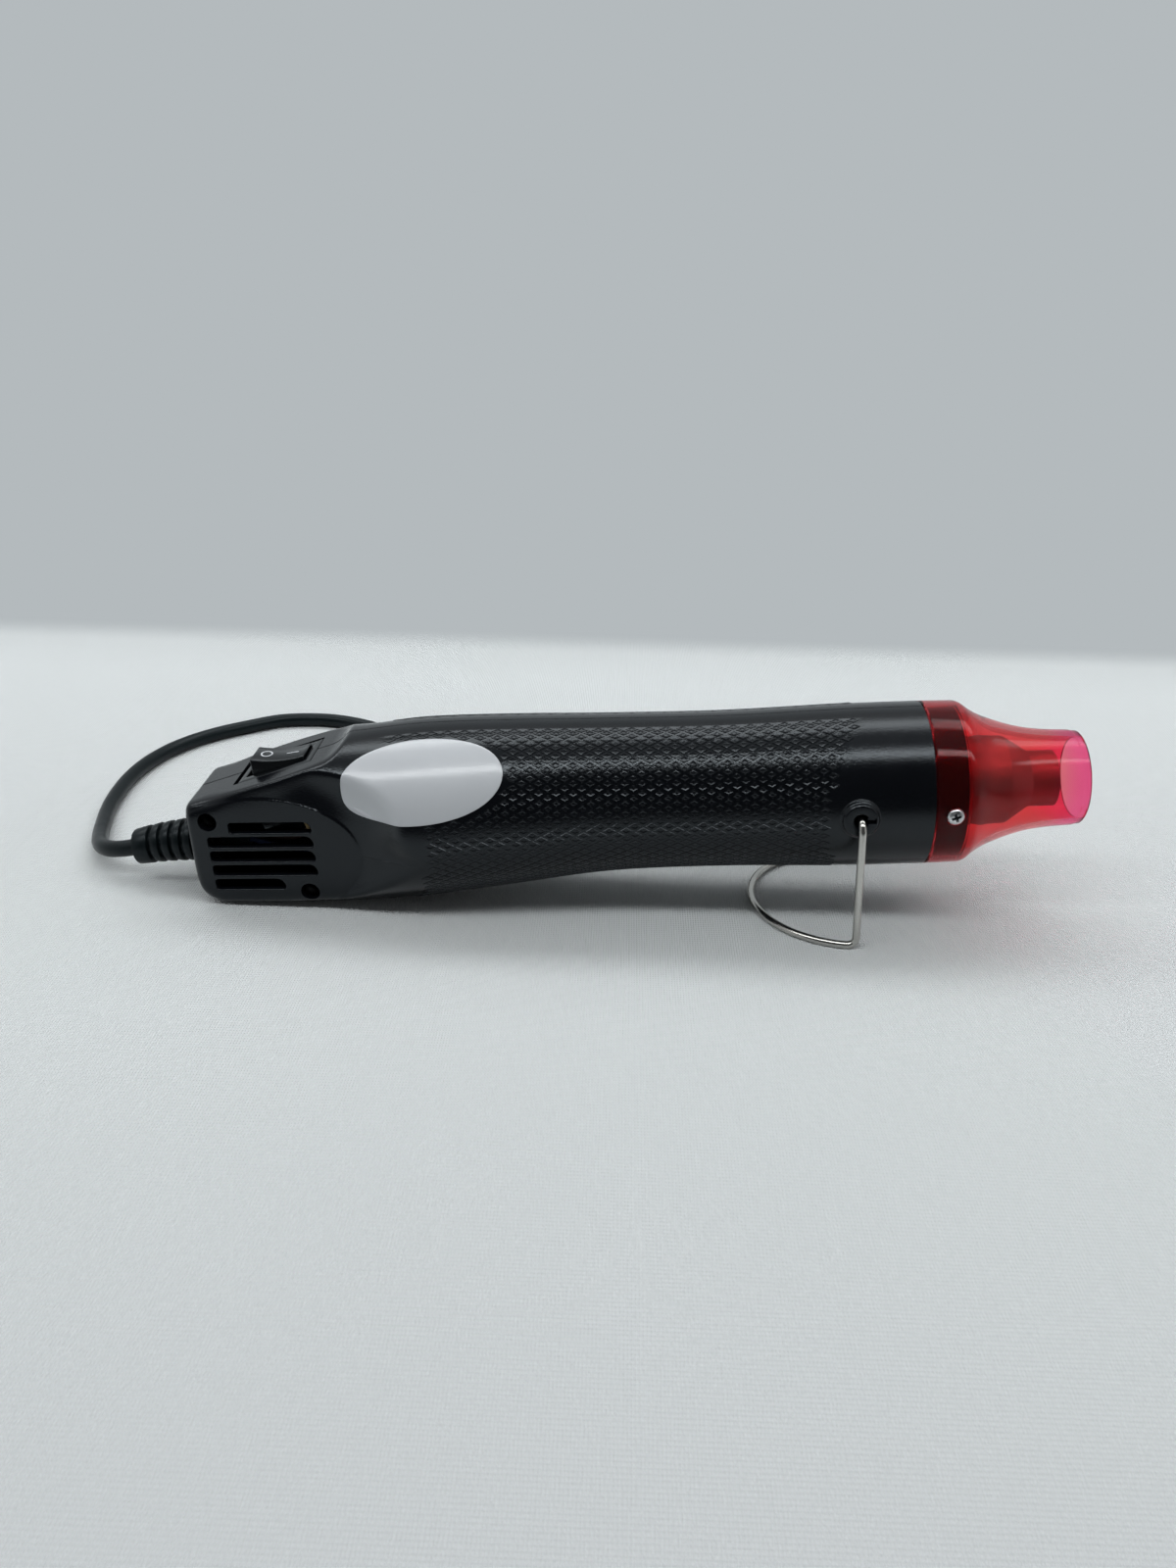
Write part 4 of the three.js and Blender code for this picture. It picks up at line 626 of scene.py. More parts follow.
def grip_share(x, angle, radius):
    """How far a point is inside the area that has the raised diamonds."""
    degrees = np.degrees(angle)
    right = np.interp(degrees, GRIP_RIGHT[:, 0], GRIP_RIGHT[:, 1]) - x
    left = x - np.interp(degrees, GRIP_LEFT[:, 0], GRIP_LEFT[:, 1])
    top = (radians(90) - angle) * radius - GRIP_TOP_MARGIN
    inside = np.minimum(np.minimum(right, left), top)
    rear, front = GRIP_UNDER_X
    under = np.minimum(np.minimum(x - rear, front - x), (GRIP_UNDER_ANGLE - angle) * radius)
    return np.clip(np.maximum(inside, under) / GRIP_FADE, 0, 1)


def half_skin(name, side, count, places):
    """One half of the casing as a closed solid."""
    rings = [half_ring(x, side, count)[0] for x in places]
    rows, columns = len(rings), len(rings[0])
    faces = grid_faces(rows, columns) + end_faces(rows, columns)
    if side > 0:
        faces = [tuple(reversed(face)) for face in faces]
    return mesh_piece(name, np.reshape(rings, (-1, 3)), faces, TOOL)


# The grip's raised diamonds: their size on the unrolled skin, and each one's outline steps as the share of
# the cell that they fill, with the height that they stand at
DIAMOND_LENGTH = 4.25
DIAMOND_HEIGHT = 2.42
DIAMOND_STEPS = [(0.85, -0.06), (0.67, 0.17), (0.5, 0.2), (0.24, 0.08)]
GRIP_REAR, GRIP_FRONT = -166.0, 4.0
# The least room from a diamond's middle down to the lower parting line, and to the table
GRIP_EDGE_MARGIN = 1.4
GRIP_TABLE_MARGIN = 0.6


def add_grip(name, side, finish):
    """Many small raised diamonds on one half, in rows that start at the top parting line."""
    places = np.arange(GRIP_REAR - 3, GRIP_FRONT + 3, 1.0)
    # At each place: distances down the skin from the parting line, with the Y, Z, angle and radius there
    table = []
    for x in places:
        ring, angles, radius = half_ring(x, side, 120)
        steps = np.hypot(np.diff(ring[:, 1]), np.diff(ring[:, 2]))
        down = steps.sum() - np.concatenate([[0], np.cumsum(steps)])
        table.append((down[::-1], ring[::-1, 1], ring[::-1, 2], angles[::-1], radius[::-1]))

    def at(x, down, lift):
        row, share = int(x - places[0]), (x - places[0]) % 1
        found = [[np.interp(down, t[0], t[k]) for k in (1, 2, 3)] for t in (table[row], table[row + 1])]
        y, z, angle = (found[0][k] * (1 - share) + found[1][k] * share for k in range(3))
        return (x, y + side * lift * cos(angle), z + lift * sin(angle))

    points, faces = [], []
    for i in range(int((GRIP_FRONT - GRIP_REAR) / DIAMOND_LENGTH * 2)):
        x = GRIP_REAR + i * DIAMOND_LENGTH / 2
        t = table[int(x - places[0])]
        for j in range(int(t[0][-1] / DIAMOND_HEIGHT)):
            down = (j + (0.5 if i % 2 else 0.0) + 0.5) * DIAMOND_HEIGHT
            if down > t[0][-1] - GRIP_EDGE_MARGIN:
                continue
            angle, radius = np.interp(down, t[0], t[3]), np.interp(down, t[0], t[4])
            resting = np.interp(down, t[0], t[2]) < table_z(x) + GRIP_TABLE_MARGIN
            if resting or grip_share(x, angle, radius) < 0.5 or side < 0 and under_plate(x, angle):
                continue
            first = len(points)
            for share, lift in DIAMOND_STEPS:
                a, b = share * DIAMOND_LENGTH / 2, share * DIAMOND_HEIGHT / 2
                points += [at(x + a, down, lift), at(x, down - b, lift)]
                points += [at(x - a, down, lift), at(x, down + b, lift)]
            rows = len(DIAMOND_STEPS)
            faces += [tuple(first + k for k in face) for face in grid_faces(rows, 4) + end_faces(rows, 4)]
    piece = mesh_piece(name, points, faces, TOOL, 20)
    fix_normals(piece)
    settle(piece, finish, "tool", "casing")


def mark_grip(piece):
    """Writes on a half's points how far each is inside the grip, for its gloss."""
    points = np.empty(3 * len(piece.data.vertices))
    piece.data.vertices.foreach_get("co", points)
    turn = np.array(TOOL.inverted())
    x, y, z = (points.reshape(-1, 3) @ turn[:3, :3].T + turn[:3, 3]).T
    places = np.linspace(REAR, FRONT, 200)
    z = z - np.interp(x, places, [along(4, place) for place in places])
    share = grip_share(x, np.arctan2(z, np.abs(y)), np.hypot(y, z))
    piece.data.attributes.new("grip", "FLOAT", "POINT").data.foreach_set("value", share)


def under_plate(x, angle):
    """Whether a point of the left half lies under the sticker or close to its edge."""
    across = (angle - PLATE_ANGLE) * along(3, x)
    length, height = PLATE_HALF_LENGTH + PLATE_MARGIN[0], PLATE_HALF_HEIGHT + PLATE_MARGIN[1]
    return hypot((x - PLATE_X) / length, across / height) < 1


# Vents, screw holes and the switch's opening

SLOT_HEIGHT = 3.0
SLOT_PITCH = 4.1
SLOT_TOP = 1.0
SLOT_REAR_RADIUS = 0.9
SLOT_FRONT_RADIUS = 2.2
SLOT_RIM = 0.35
# The rear and front end of each vent, from the top one down
SLOTS = [(-160.1, -138.4), (-166.3, -138.4), (-166.3, -138.4), (-166.3, -138.4), (-166.3, -147.6)]
CASE_SCREWS = [(-165.4, 1.3), (-141.2, -19.3)]
CASE_SCREW_SEAT, CASE_SCREW_LENGTH = 6.8, 13
SWITCH_X = -148.6
SWITCH = TOOL @ Matrix.Translation((SWITCH_X, 0, slope_z(SWITCH_X))) @ Matrix.Rotation(-SLOPE, 4, "Y")
RELIEF_Z = -10.2
WELL_RADIUS = 2.5
BOSS_BORE = 1.75
NECK_BORE = 4.9
# Half sizes of the switch's seat: the recess that its flange lies in, and the opening for its body
SWITCH_RECESS = (11.1, 8.1, 12)
SWITCH_OPENING = (9.8, 7.3, 12)
GUARD_Y = (11.2, 12.2)


def slot_outline(x0, x1, top, grow):
    """A vent's outline: small corners at the rear and a large one at the front's top."""
    small, large, bottom = SLOT_REAR_RADIUS, SLOT_FRONT_RADIUS, top - SLOT_HEIGHT
    last = small * 0.7
    corners = [
        (x1 - large, top - large, large), (x0 + small, top - small, small),
        (x0 + small, bottom + small, small), (x1 - last, bottom + last, last),
    ]
    return corner_arcs([(x, z, radius + grow) for x, z, radius in corners], 6)


def slot_liner(name, side, row):
    """The wall of a vent, with a rounded rim flush with the panel."""
    steps = [(0.62, 0.03), (0.5, 0.0), (SLOT_RIM, 0.0)]
    for a in np.radians([20, 40, 60, 80, 90]):
        steps.append((SLOT_RIM - SLOT_RIM * sin(a), SLOT_RIM - SLOT_RIM * cos(a)))
    rings = []
    for grow, depth in steps + [(0.0, WALL), (0.6, WALL)]:
        outline = slot_outline(*SLOTS[row], SLOT_TOP - row * SLOT_PITCH, grow)
        rings.append([(x, side * (panel_y(x) - depth), z) for x, z in outline])
    return skin_of_rings(name, rings, TOOL, 40, caps=False)


def casing_cutters(side):
    """What is cut out of one half: vents, screw wells, the switch's seat, the relief's neck and the pivot."""
    cutters = []
    for row, (x0, x1) in enumerate(SLOTS):
        outline = slot_outline(x0, x1, SLOT_TOP - row * SLOT_PITCH, 0.5)
        cutters.append(slab("cut_slot", outline, *sorted((side * 8, side * 30)), TOOL))
    if side < 0:
        cutters += [bar_y("cut_hole", x, z, WELL_RADIUS, -30, -2, TOOL) for x, z in CASE_SCREWS]
    recess = rounded_box("cut_recess", SWITCH_RECESS, 10, 0.5, SWITCH)
    opening = rounded_box("cut_opening", SWITCH_OPENING, -2, 0.4, SWITCH)
    neck = [(REAR - 3, 0), (REAR - 3, NECK_BORE), (REAR + 4, NECK_BORE), (REAR + 4, 0)]
    relief = turned("cut_relief", neck, 48, TOOL @ Matrix.Translation((0, 0, RELIEF_Z)))
    pivot = bar_y("cut_pivot", 0, 0, BOSS_BORE, side * 15, side * 26, TOOL, 32)
    return cutters + [recess, opening, relief, pivot]


def inner_half(side):
    """The hollow inside one half, drawn 1 mm past the parting line."""
    angles = np.linspace(-pi / 2, pi / 2, 49)
    places = np.concatenate([[REAR + WALL], np.arange(REAR + 5, FRONT, 5.0), [FRONT + 2]])
    rings = []
    for x in places:
        inner = min(x, FRONT - 0.3)
        radius = skin_radius(inner, angles) - np.where(np.sin(angles) > 0, slope_wall(inner), WALL)
        y, z = radius * np.cos(angles), along(4, inner) + radius * np.sin(angles)
        ring = [(x, side * b, c) for b, c in zip(y, z)]
        rings.append([(x, -side, ring[0][2])] + ring + [(x, -side, ring[-1][2])])
    return skin_of_rings("cut_inside", rings, TOOL)


def slope_wall(x):
    """The wall is thicker under the switch's sloping face."""
    return WALL + 1.7 * float(np.clip((-128 - x) / 6, 0, 1))


def add_casing(finish, grip_finish):
    places = skin_places(0.32, 1.1)
    for side, word in SIDES:
        piece = half_skin(f"casing_{word}", side, 270, places)
        cut(piece, [inner_half(side)] + casing_cutters(side), 30)
        mark_grip(piece)
        settle(piece, finish, "tool", "casing", f"shell_{word}")
        add_grip(f"grip_diamonds_{word}", side, grip_finish)
        for row in range(len(SLOTS)):
            liner = slot_liner(f"vent_{word}_{row + 1}", side, row)
            settle(liner, finish, "tool", "casing")


def add_vent_guard(finish):
    """A rib behind the far half's vents, on short feet, that keeps the inside dark and covered."""
    y0, y1 = GUARD_Y
    guard = slab("vent_guard", rounded_outline(-167.5, -136.5, -19.6, 2.2, 1.5, 5), y0, y1, TOOL)
    settle(guard, finish, "tool", "casing")
    for k, x in enumerate((-163.0, -152.0, -141.0)):
        for row in (1, 3):
            z = SLOT_TOP + 0.55 - row * SLOT_PITCH
            outline = rounded_outline(x - 0.7, x + 0.7, z - 0.45, z + 0.45, 0.2, 5)
            foot = slab(f"guard_foot_{k + 1}_{row}", outline, y1 - 0.1, panel_y(x) - WALL + 0.1, TOOL)
            settle(foot, finish, "tool", "casing")


def add_collar_and_pivots(finish):
    """The collar's spigot, the stand's pivot bosses with their keyholes, and the casing screws' wells."""
    r = SPIGOT_RADIUS
    profile = [
        (FRONT - 2, COLLAR_RADIUS - 0.6), (FRONT - 0.3, COLLAR_RADIUS - 0.06), (FRONT, COLLAR_RADIUS - 0.35),
        (FRONT, r), (SPIGOT_END - 0.4, r), (SPIGOT_END, r - 0.4), (SPIGOT_END, NOZZLE_RADIUS + 0.7),
        (SPIGOT_END - 0.3, NOZZLE_RADIUS + 0.4), (SPIGOT_END - 2, NOZZLE_RADIUS + 0.4),
        (SPIGOT_END - 2, r - 1.9), (FRONT - 2, r - 1.9),
    ]
    spigot = hoop("collar_spigot", profile, 160, TOOL, sharp=30)
    settle(spigot, finish, "tool", "casing")
    shape = rounded([
        (19.6, 5.6), (20.9, 5.25), (21.25, 4.72), (21.9, 4.3), (22.2, 4.0), (22.2, 1.95), (21.95, BOSS_BORE),
        (17.0, BOSS_BORE), (17.0, 1.2), (16.4, 1.2),
    ], 0.3, 3)
    for side, word in SIDES:
        outline = [(side * y, radius) for y, radius in shape]
        boss = hoop(f"pivot_boss_{word}", outline, 64, TOOL, axis="Y", sharp=40)
        keyhole = [(0, -0.75), (3.7, -0.75), (3.7, 0.75), (0, 0.75)]
        cut(boss, [slab("cut_keyhole", keyhole, side * 19, side * 24, TOOL)], 40)
        settle(boss, finish, "tool", "casing")
    well = [(-13.4, 3.3), (-13.4, WELL_RADIUS), (-6.6, WELL_RADIUS), (-6.6, 1.3), (-1, 1.3), (-1, 3.3)]
    for k, (x, z) in enumerate(CASE_SCREWS):
        place = TOOL @ Matrix.Translation((x, 0, z))
        settle(hoop(f"screw_well_{k + 1}", well, 40, place, axis="Y", sharp=30), finish, "tool", "casing")


# Heat shield and screws

SCREW_X = 23.0
SCREW_SEAT, SCREW_LENGTH = COLLAR_RADIUS - 0.65, 6.6
SCREW_BORE, COUNTERBORE, COUNTERBORE_FLOOR = 1.6, 2.45, COLLAR_RADIUS - 0.8
HEAD_RADIUS = 2.15
HEAD_HEIGHT = 1.45
CROSS_DEPTH = 1.2
CROSS_REACH = 1.35


def add_shield(finish):
    """The flared red sleeve over the collar, with its bores and counterbores for the two screws."""
    rear = FRONT + 0.3
    outer = [
        (rear, COLLAR_RADIUS - 0.25), (rear + 0.25, COLLAR_RADIUS), (27.0, 21.02), (28.2, 20.62),
        (29.0, 20.1), (30.1, 19.25), (31.6, 18.25), (33.6, 17.15), (35.9, 16.2), (38.6, 15.2),
        (41.6, 14.25), (44.6, 13.52), (47.6, 13.02), (51.0, 12.66), (56.5, 12.38), (56.72, 12.22),
        (58.35, 12.1), (58.6, 11.85),
    ]
    inner = [
        (58.6, 10.9), (58.4, 10.65), (54.0, 10.9), (47.6, 11.4), (41.6, 12.55), (35.9, 14.5), (33.0, 15.9),
        (31.0, 17.0), (29.0, 18.2), (27.6, 18.7), (26.9, 18.9), (26.9, 19.5), (rear, 19.5),
    ]
    shield = hoop("red_heat_shield", smooth_profile(outer) + inner, 160, TOOL, sharp=28)
    cutters = []
    for side in (-1, 1):
        cutters.append(bar_y("cut_screw", SCREW_X, 0, SCREW_BORE, side * 17, side * 24, TOOL, 32))
        floor = side * COUNTERBORE_FLOOR
        cutters.append(bar_y("cut_counterbore", SCREW_X, 0, COUNTERBORE, floor, side * 24, TOOL, 40))
    cut(shield, cutters, 28)
    settle(shield, finish, "tool", "shield", "heat_shield")


def smooth_profile(points):
    """The curved run of the profile, drawn finer."""
    head, body, tail = points[:3], points[3:15], points[15:]
    line = smooth_line([(a, b, 0) for a, b in [head[-1]] + body], 4)
    return head[:-1] + [(p[0], p[1]) for p in line] + tail


def screw(name, x, z, seat, side, length, finish, node):
    """A pan head screw with a cross recess, along Y."""
    r, top = HEAD_RADIUS, HEAD_HEIGHT
    dome = [(0, r - 0.05), (0.45, r)]
    for a in np.radians([15, 30, 45, 60, 75, 90]):
        dome.append((0.55 + (top - 0.55) * sin(a), 0.35 + (r - 0.35) * cos(a) ** 0.8 if a < 1.57 else 0.0))
    shape = [(-length, 0.0), (-length + 0.6, 1.05), (-0.02, 1.25)] + dome
    place = TOOL @ Matrix.Translation((x, side * seat, z)) @ Matrix.Rotation(0 if side > 0 else pi, 4, "Z")
    piece = turned(name, shape, 48, place, axis="Y", sharp=32)
    cutters = []
    for k in range(2):
        turn = place @ Matrix.Rotation(radians(20 + 90 * k), 4, "Y")
        floor = top - CROSS_DEPTH
        wedge = [(-CROSS_REACH, top + 0.4), (CROSS_REACH, top + 0.4), (0.75, floor), (-0.75, floor)]
        rings = [[(a, b, h) for a, b in wedge] for h in (-0.34, 0.34)]
        cutters.append(skin_of_rings("cut_cross", rings, turn))
    cut(piece, cutters, 32)
    settle(piece, finish, "tool", "screw", node)
    # A second, dark metal paints shade into the cross recess
    piece.data.materials.append(finishes["recess"])
    inverse = place.inverted()
    for face in piece.data.polygons:
        # The recess's faces lie below the dome, over its floor. They get the dark metal, which is painted shade in
        # the recess
        at = inverse @ face.center
        out = hypot(at.x, at.z)
        if out < CROSS_REACH and top - CROSS_DEPTH - 0.05 < at.y < top - 0.16 - 0.22 * out ** 2:
            face.material_index = 1


# Wire stand

WIRE_RADIUS = 1.0
STAND_HALF_WIDTH = 24.35
STAND_LEG = 34.1
STAND_LEAN = radians(3.3)
STAND_BEND = 2.6
STAND_TAIL = 7.5


def add_stand(finish):
    """Two legs from the pivots, bent into a half loop that lies on the table behind them."""
    foot = np.array([sin(STAND_LEAN) * STAND_LEG, 0, -cos(STAND_LEAN) * STAND_LEG])
    w = STAND_HALF_WIDTH
    down = unit(foot) * STAND_BEND
    top, bottom = np.array([0, -w, 0.0]), np.array([foot[0], -w, foot[2]])
    path = [top + (0, STAND_TAIL, 0), top + (0, STAND_BEND + 1.5, 0), top + (0, STAND_BEND, 0)]
    path += bend(path[-1], top, top + down)
    path += [top + down + (bottom - top - 2 * down) * t for t in (0.25, 0.5, 0.75, 1)]
    skip = STAND_BEND / w
    angles = np.linspace(skip, pi - skip, 64)
    arc = [np.array([foot[0] - w * sin(a), -w * cos(a), foot[2]]) for a in angles]
    path += bend(path[-1], bottom, arc[0])
    path += arc[1:32]
    near = np.array(path)
    far = near[::-1] * (1, -1, 1)
    whole = np.vstack([near, far])
    place = Matrix.Translation(PIVOT) @ Matrix.Scale(MM, 4)
    piece = swept("stand_bright_wire", whole, circle(WIRE_RADIUS, 24), place, 70)
    settle(piece, finish, "stand", "wire", "stand_wire")


# Switch

ROCKER_TILT = radians(13.5)
ROCKER_HALF_LENGTH = 7.1
ROCKER_HALF_WIDTH = 4.45
ROCKER_TOP = 5.95
ROCKER_DIP = 0.85
ROCKER_PIVOT = -3.3
SWITCH_TOP = -0.1


def add_switch(finish, mark_finish):
    """The housing with its flange, and the rocker with its two marks."""
    top = SWITCH_TOP
    # Rear, front, half width and height of each step, down the outside and back inside the well
    steps = [
        (-9.4, 9.4, 6.9, -14.6), (-9.4, 9.4, 6.9, top - 1.5), (-9.98, 10.68, 7.75, top - 1.5),
        (-9.98, 10.68, 7.75, top - 0.3), (-9.9, 10.6, 7.67, top - 0.09), (-9.7, 10.4, 7.48, top),
        (-8.6, 8.6, 4.95, top), (-8.45, 8.45, 4.8, top - 0.06), (-8.4, 8.4, 4.75, top - 0.2),
        (-8.4, 8.4, 4.75, -8.5),
    ]
    rings = []
    for rear, front, w, z in steps:
        rings.append([(x, y, z) for x, y in rounded_outline(rear, front, -w, w, 0.5, 4)])
    settle(skin_of_rings("switch_bezel", rings, SWITCH, 30), finish, "tool", "switch", "switch_housing")

    place = SWITCH @ Matrix.Translation((0, 0, ROCKER_PIVOT)) @ Matrix.Rotation(ROCKER_TILT, 4, "Y")
    length, width, edge = ROCKER_HALF_LENGTH, ROCKER_HALF_WIDTH, 0.22
    crest = [(length * u, crest_height(length * u)) for u in np.linspace(-1, 1, 33)]
    shape = [(-length, -1.5), (-length, ROCKER_TOP - edge)] + crest[1:-1]
    shape += [(length, ROCKER_TOP - edge), (length, -1.5), (length - 1, -3), (-length + 1, -3)]
    layers = []
    for share, inset in ((1, edge), (1 - 0.07 / width, edge * 0.45), (1 - edge / width, 0.0)):
        layer = []
        for x, z in shape:
            drawn_in = x - copysign(inset, x) if abs(x) > length - 0.5 else x
            layer.append((drawn_in, share * width, z - inset if z > 0 else z))
        layers.append(layer)
    near = [[(x, -y, z) for x, y, z in layer] for layer in layers]
    rocker = skin_of_rings("rocker_button", near + layers[::-1], place, 40)
    settle(rocker, finish, "rocker", "switch", "switch_rocker")

    rings = []
    for radius, lift in ((1.17, -0.02), (1.17, 0.03), (1.55, 0.03), (1.55, -0.02)):
        rings.append([on_crest(-3.85 + a, 0.25 + 1.2 * b, lift) for a, b in circle(radius, 40)])
    mark = skin_of_rings("mark_off", rings + [rings[0]], place, 30, caps=False)
    settle(mark, mark_finish, "rocker", "switch")
    corners = ((1.6, -0.19), (4.8, -0.19), (4.8, 0.19), (1.6, 0.19))
    rings = [[on_crest(x, y, lift) for x, y in corners] for lift in (-0.1, 0.03)]
    bar = skin_of_rings("mark_on", rings, place, 30)
    settle(bar, mark_finish, "rocker", "switch")


def crest_height(x):
    """The rocker's hollow top."""
    u = x / ROCKER_HALF_LENGTH
    return ROCKER_TOP - ROCKER_DIP * max(1 - u * u, 0) ** 0.9


def on_crest(x, y, lift):
    return (x, y, crest_height(x) + lift)


# Sticker

PLATE_X = -108.5
PLATE_HALF_LENGTH = 20.8
PLATE_HALF_HEIGHT = 11.7
PLATE_ANGLE = radians(41)
PLATE_MARGIN = (1.2, 0.9)
PLATE_THICK = 0.3


def add_sticker(finish):
    """A plain oval film on the left side, wrapped round the skin."""
    count = 120

    def at(scale, lift):
        ring = []
        for a in np.arange(count) * 2 * pi / count:
            x = PLATE_X + scale * PLATE_HALF_LENGTH * cos(a)
            angle = PLATE_ANGLE + scale * PLATE_HALF_HEIGHT * sin(a) / along(3, x)
            point = skin_point(x, angle, lift)
            ring.append((point[0], -point[1], point[2]))
        return ring

    rings = [at(0.998, -0.1), at(1.0, 0.12), at(0.998, 0.26), at(0.99, PLATE_THICK)]
    rings += [at(scale, PLATE_THICK) for scale in np.linspace(0.95, 0.02, 16)]
    plate = skin_of_rings("oval_sticker", rings, TOOL, 50)
    settle(plate, finish, "tool", "sticker", "rating_plate")


# Cord, hank and plug, in bench millimetres

CORD_DIAMETER = 4.6
# The middle line from the strain relief, round at the left and back to the hank
CORD_ROUTE = [
    [-195.2, 0.7, 8.4], [-199.1, 2.4, 7.3], [-202.4, 5.2, 6.3], [-205.1, 9, 5.3], [-207.4, 13.8, 4.4],
    [-209.5, 19.4, 3.6], [-211.5, 25.7, 2.95], [-213.5, 32.6, 2.5], [-215.1, 40, 2.4], [-216.2, 48.6, 2.4],
    [-216.7, 58.2, 2.4], [-216.1, 67.6, 2.4], [-214.1, 76.8, 2.4], [-210.8, 85.2, 2.4], [-206, 92.8, 2.4],
    [-199.9, 99.5, 2.4], [-192.8, 105.3, 2.4], [-182.4, 112.4, 2.4], [-174, 114.4, 2.4], [-165.6, 114.6, 2.4],
    [-157.4, 112.8, 2.4], [-149.6, 109.2, 2.5], [-142, 104, 2.6], [-134.6, 97.8, 2.8], [-126.9, 91.4, 3.1],
    [-119.4, 86.2, 3.4], [-115.4, 83.8, 3.65],
]
HANK_X, HANK_Y, HANK_Z = -75.0, 58.0, 3.7
HANK_HALF_RUN = 34.0
HANK_FOLD_RADIUS = 13.8
HANK_STEP = 5.6
HANK_WAIST = 9.3
HANK_LOOPS = 4
HANK_LAYER = 5.2
RUN_STEPS, END_STEPS, LOOP_STEPS = 4, 8, 24
PLUG_X, PLUG_Y, PLUG_Z = -12.0, 84.0, 7.0
RELIEF_END = -191.5
RELIEF_DROOP = 0.005
RELIEF_GROOVES, RELIEF_PITCH, RELIEF_GROOVE, RELIEF_DEPTH = 5, 3.07, 1.25, 1.15


def relief_centre(x):
    """The height of the strain relief's middle line."""
    return RELIEF_Z - RELIEF_DROOP * min(0, x - REAR) ** 2


def hank_point(step):
    """A point of the hank. Each loop has two runs, close together at the waist, and a turn at each end."""
    past_middle = step - (LOOP_STEPS * HANK_LOOPS + RUN_STEPS) / 2
    radius = HANK_FOLD_RADIUS + HANK_STEP * abs(past_middle) / LOOP_STEPS
    climb = float(smooth_step(0.5 + past_middle / (LOOP_STEPS / 2)))
    half, phase = divmod(step % LOOP_STEPS, RUN_STEPS + END_STEPS)
    if phase <= RUN_STEPS:
        x = HANK_HALF_RUN * (2 * phase / RUN_STEPS - 1)
        y = radius - HANK_WAIST * (1 + cos(pi * x / HANK_HALF_RUN)) / 2
    else:
        turn = pi * (phase - RUN_STEPS) / END_STEPS
        x, y = HANK_HALF_RUN + radius * sin(turn), radius * cos(turn)
    side = 1 - 2 * half
    return np.array([HANK_X + side * x, HANK_Y + side * y, HANK_Z + HANK_LAYER * climb])


def add_cord(finish, plug_finish, tie_finish):
    """One length from inside the strain relief through the hank to the plug, with the tie round it."""
    start_x = RELIEF_END + 3
    exit_point = TOOL @ Vector((RELIEF_END - 0.6, 0, relief_centre(RELIEF_END - 0.6)))
    inside_point = TOOL @ Vector((start_x, 0, relief_centre(start_x)))
    to_bench = BENCH.inverted()
    hank = [hank_point(s) for s in range(LOOP_STEPS * HANK_LOOPS + RUN_STEPS + 1)]
    first, last = hank[0] - (2, 0, 0), hank[-1] + (2, 0, 0)
    tail = [
        last, (last[0] + 9, last[1] + 0.1, last[2] - 0.4), (PLUG_X - 9, PLUG_Y, PLUG_Z + 0.3),
        (PLUG_X, PLUG_Y, PLUG_Z), (PLUG_X + 2, PLUG_Y, PLUG_Z),
    ]
    lead = [tuple(to_bench @ exit_point)] + CORD_ROUTE + [tuple(first)]
    start = [tuple(to_bench @ inside_point)]
    whole = np.vstack([start, smooth_line(lead, 6), smooth_line(hank, 4), smooth_line(tail, 6)])
    piece = swept("mains_cord", whole, circle(CORD_DIAMETER / 2, 20), BENCH, 70)
    settle(piece, finish, "tool", "cord", "cord_lead", "cord_hank", "cord_tail")
    plug_pieces = add_plug(plug_finish)
    tie = add_tie(tie_finish)


PLUG_LENGTH = 37
PLUG_PIN_Y = 9.5
# Along the plug: X, half width and half height
PLUG_SECTIONS = [
    (0, 2.9, 2.9), (0.3, 3.2, 3.2), (3, 3.4, 3.4), (7, 3.9, 3.8), (10, 5.2, 4.5), (13, 8.2, 5.6),
    (16.5, 12.0, 6.4), (21, 15.6, 6.8), (28, 17.45, 6.85), (35, 17.65, 6.85), (36.4, 17.6, 6.8),
    (36.9, 17.2, 6.45), (PLUG_LENGTH, 16.6, 5.9),
]


def add_plug(finish):
    """The moulded plug with finger ridges, and two pins in their sleeves. Gives back its pieces."""
    at, wide, tall = np.array(PLUG_SECTIONS).T
    angles = np.arange(72) * 2 * pi / 72
    c, s = np.cos(angles), np.sin(angles)
    grip = np.clip((np.abs(c) - 0.86) / 0.1, 0, 1)
    rings = []
    for x in np.unique(np.concatenate([at, np.linspace(3, 36, 60)])):
        ridge = 0.35 if 14 < x < 30 and int(x / 1.6) % 2 else 0
        y = (np.interp(x, at, wide) - ridge * grip) * np.sign(c) * np.abs(c) ** 0.72
        z = np.interp(x, at, tall) * np.sign(s) * np.abs(s) ** 0.72
        rings.append(np.stack([np.full(72, PLUG_X + x), PLUG_Y + y, PLUG_Z + z], 1))
    body = skin_of_rings("moulded_plug", rings, BENCH, 40)
    settle(body, finish, "tool", "plug", "plug_body")
    pieces = [body]
    sleeve_shape = rounded([(-1, 0), (-1, 1.92), (10, 1.92), (10, 0)], 0.15, 3)
    pin_shape = [(9, 0), (9, 2.0)]
    pin_shape += [(17.6 + 1.7 * sin(a), 2.0 * cos(a)) for a in np.radians([0, 20, 40, 60, 75, 90])]
    for k, side in enumerate((-1, 1)):
        place = BENCH @ Matrix.Translation((PLUG_X + PLUG_LENGTH, PLUG_Y + side * PLUG_PIN_Y, PLUG_Z))
        sleeve = turned(f"pin_sleeve_{k + 1}", sleeve_shape, 40, place)
        settle(sleeve, finish, "tool", "plug")
        pin = turned(f"plug_contact_{k + 1}", pin_shape, 40, place)
        settle(pin, finishes["pin"], "tool", "pin", f"plug_pin_{k + 1}")
        pieces += [sleeve, pin]
    return pieces


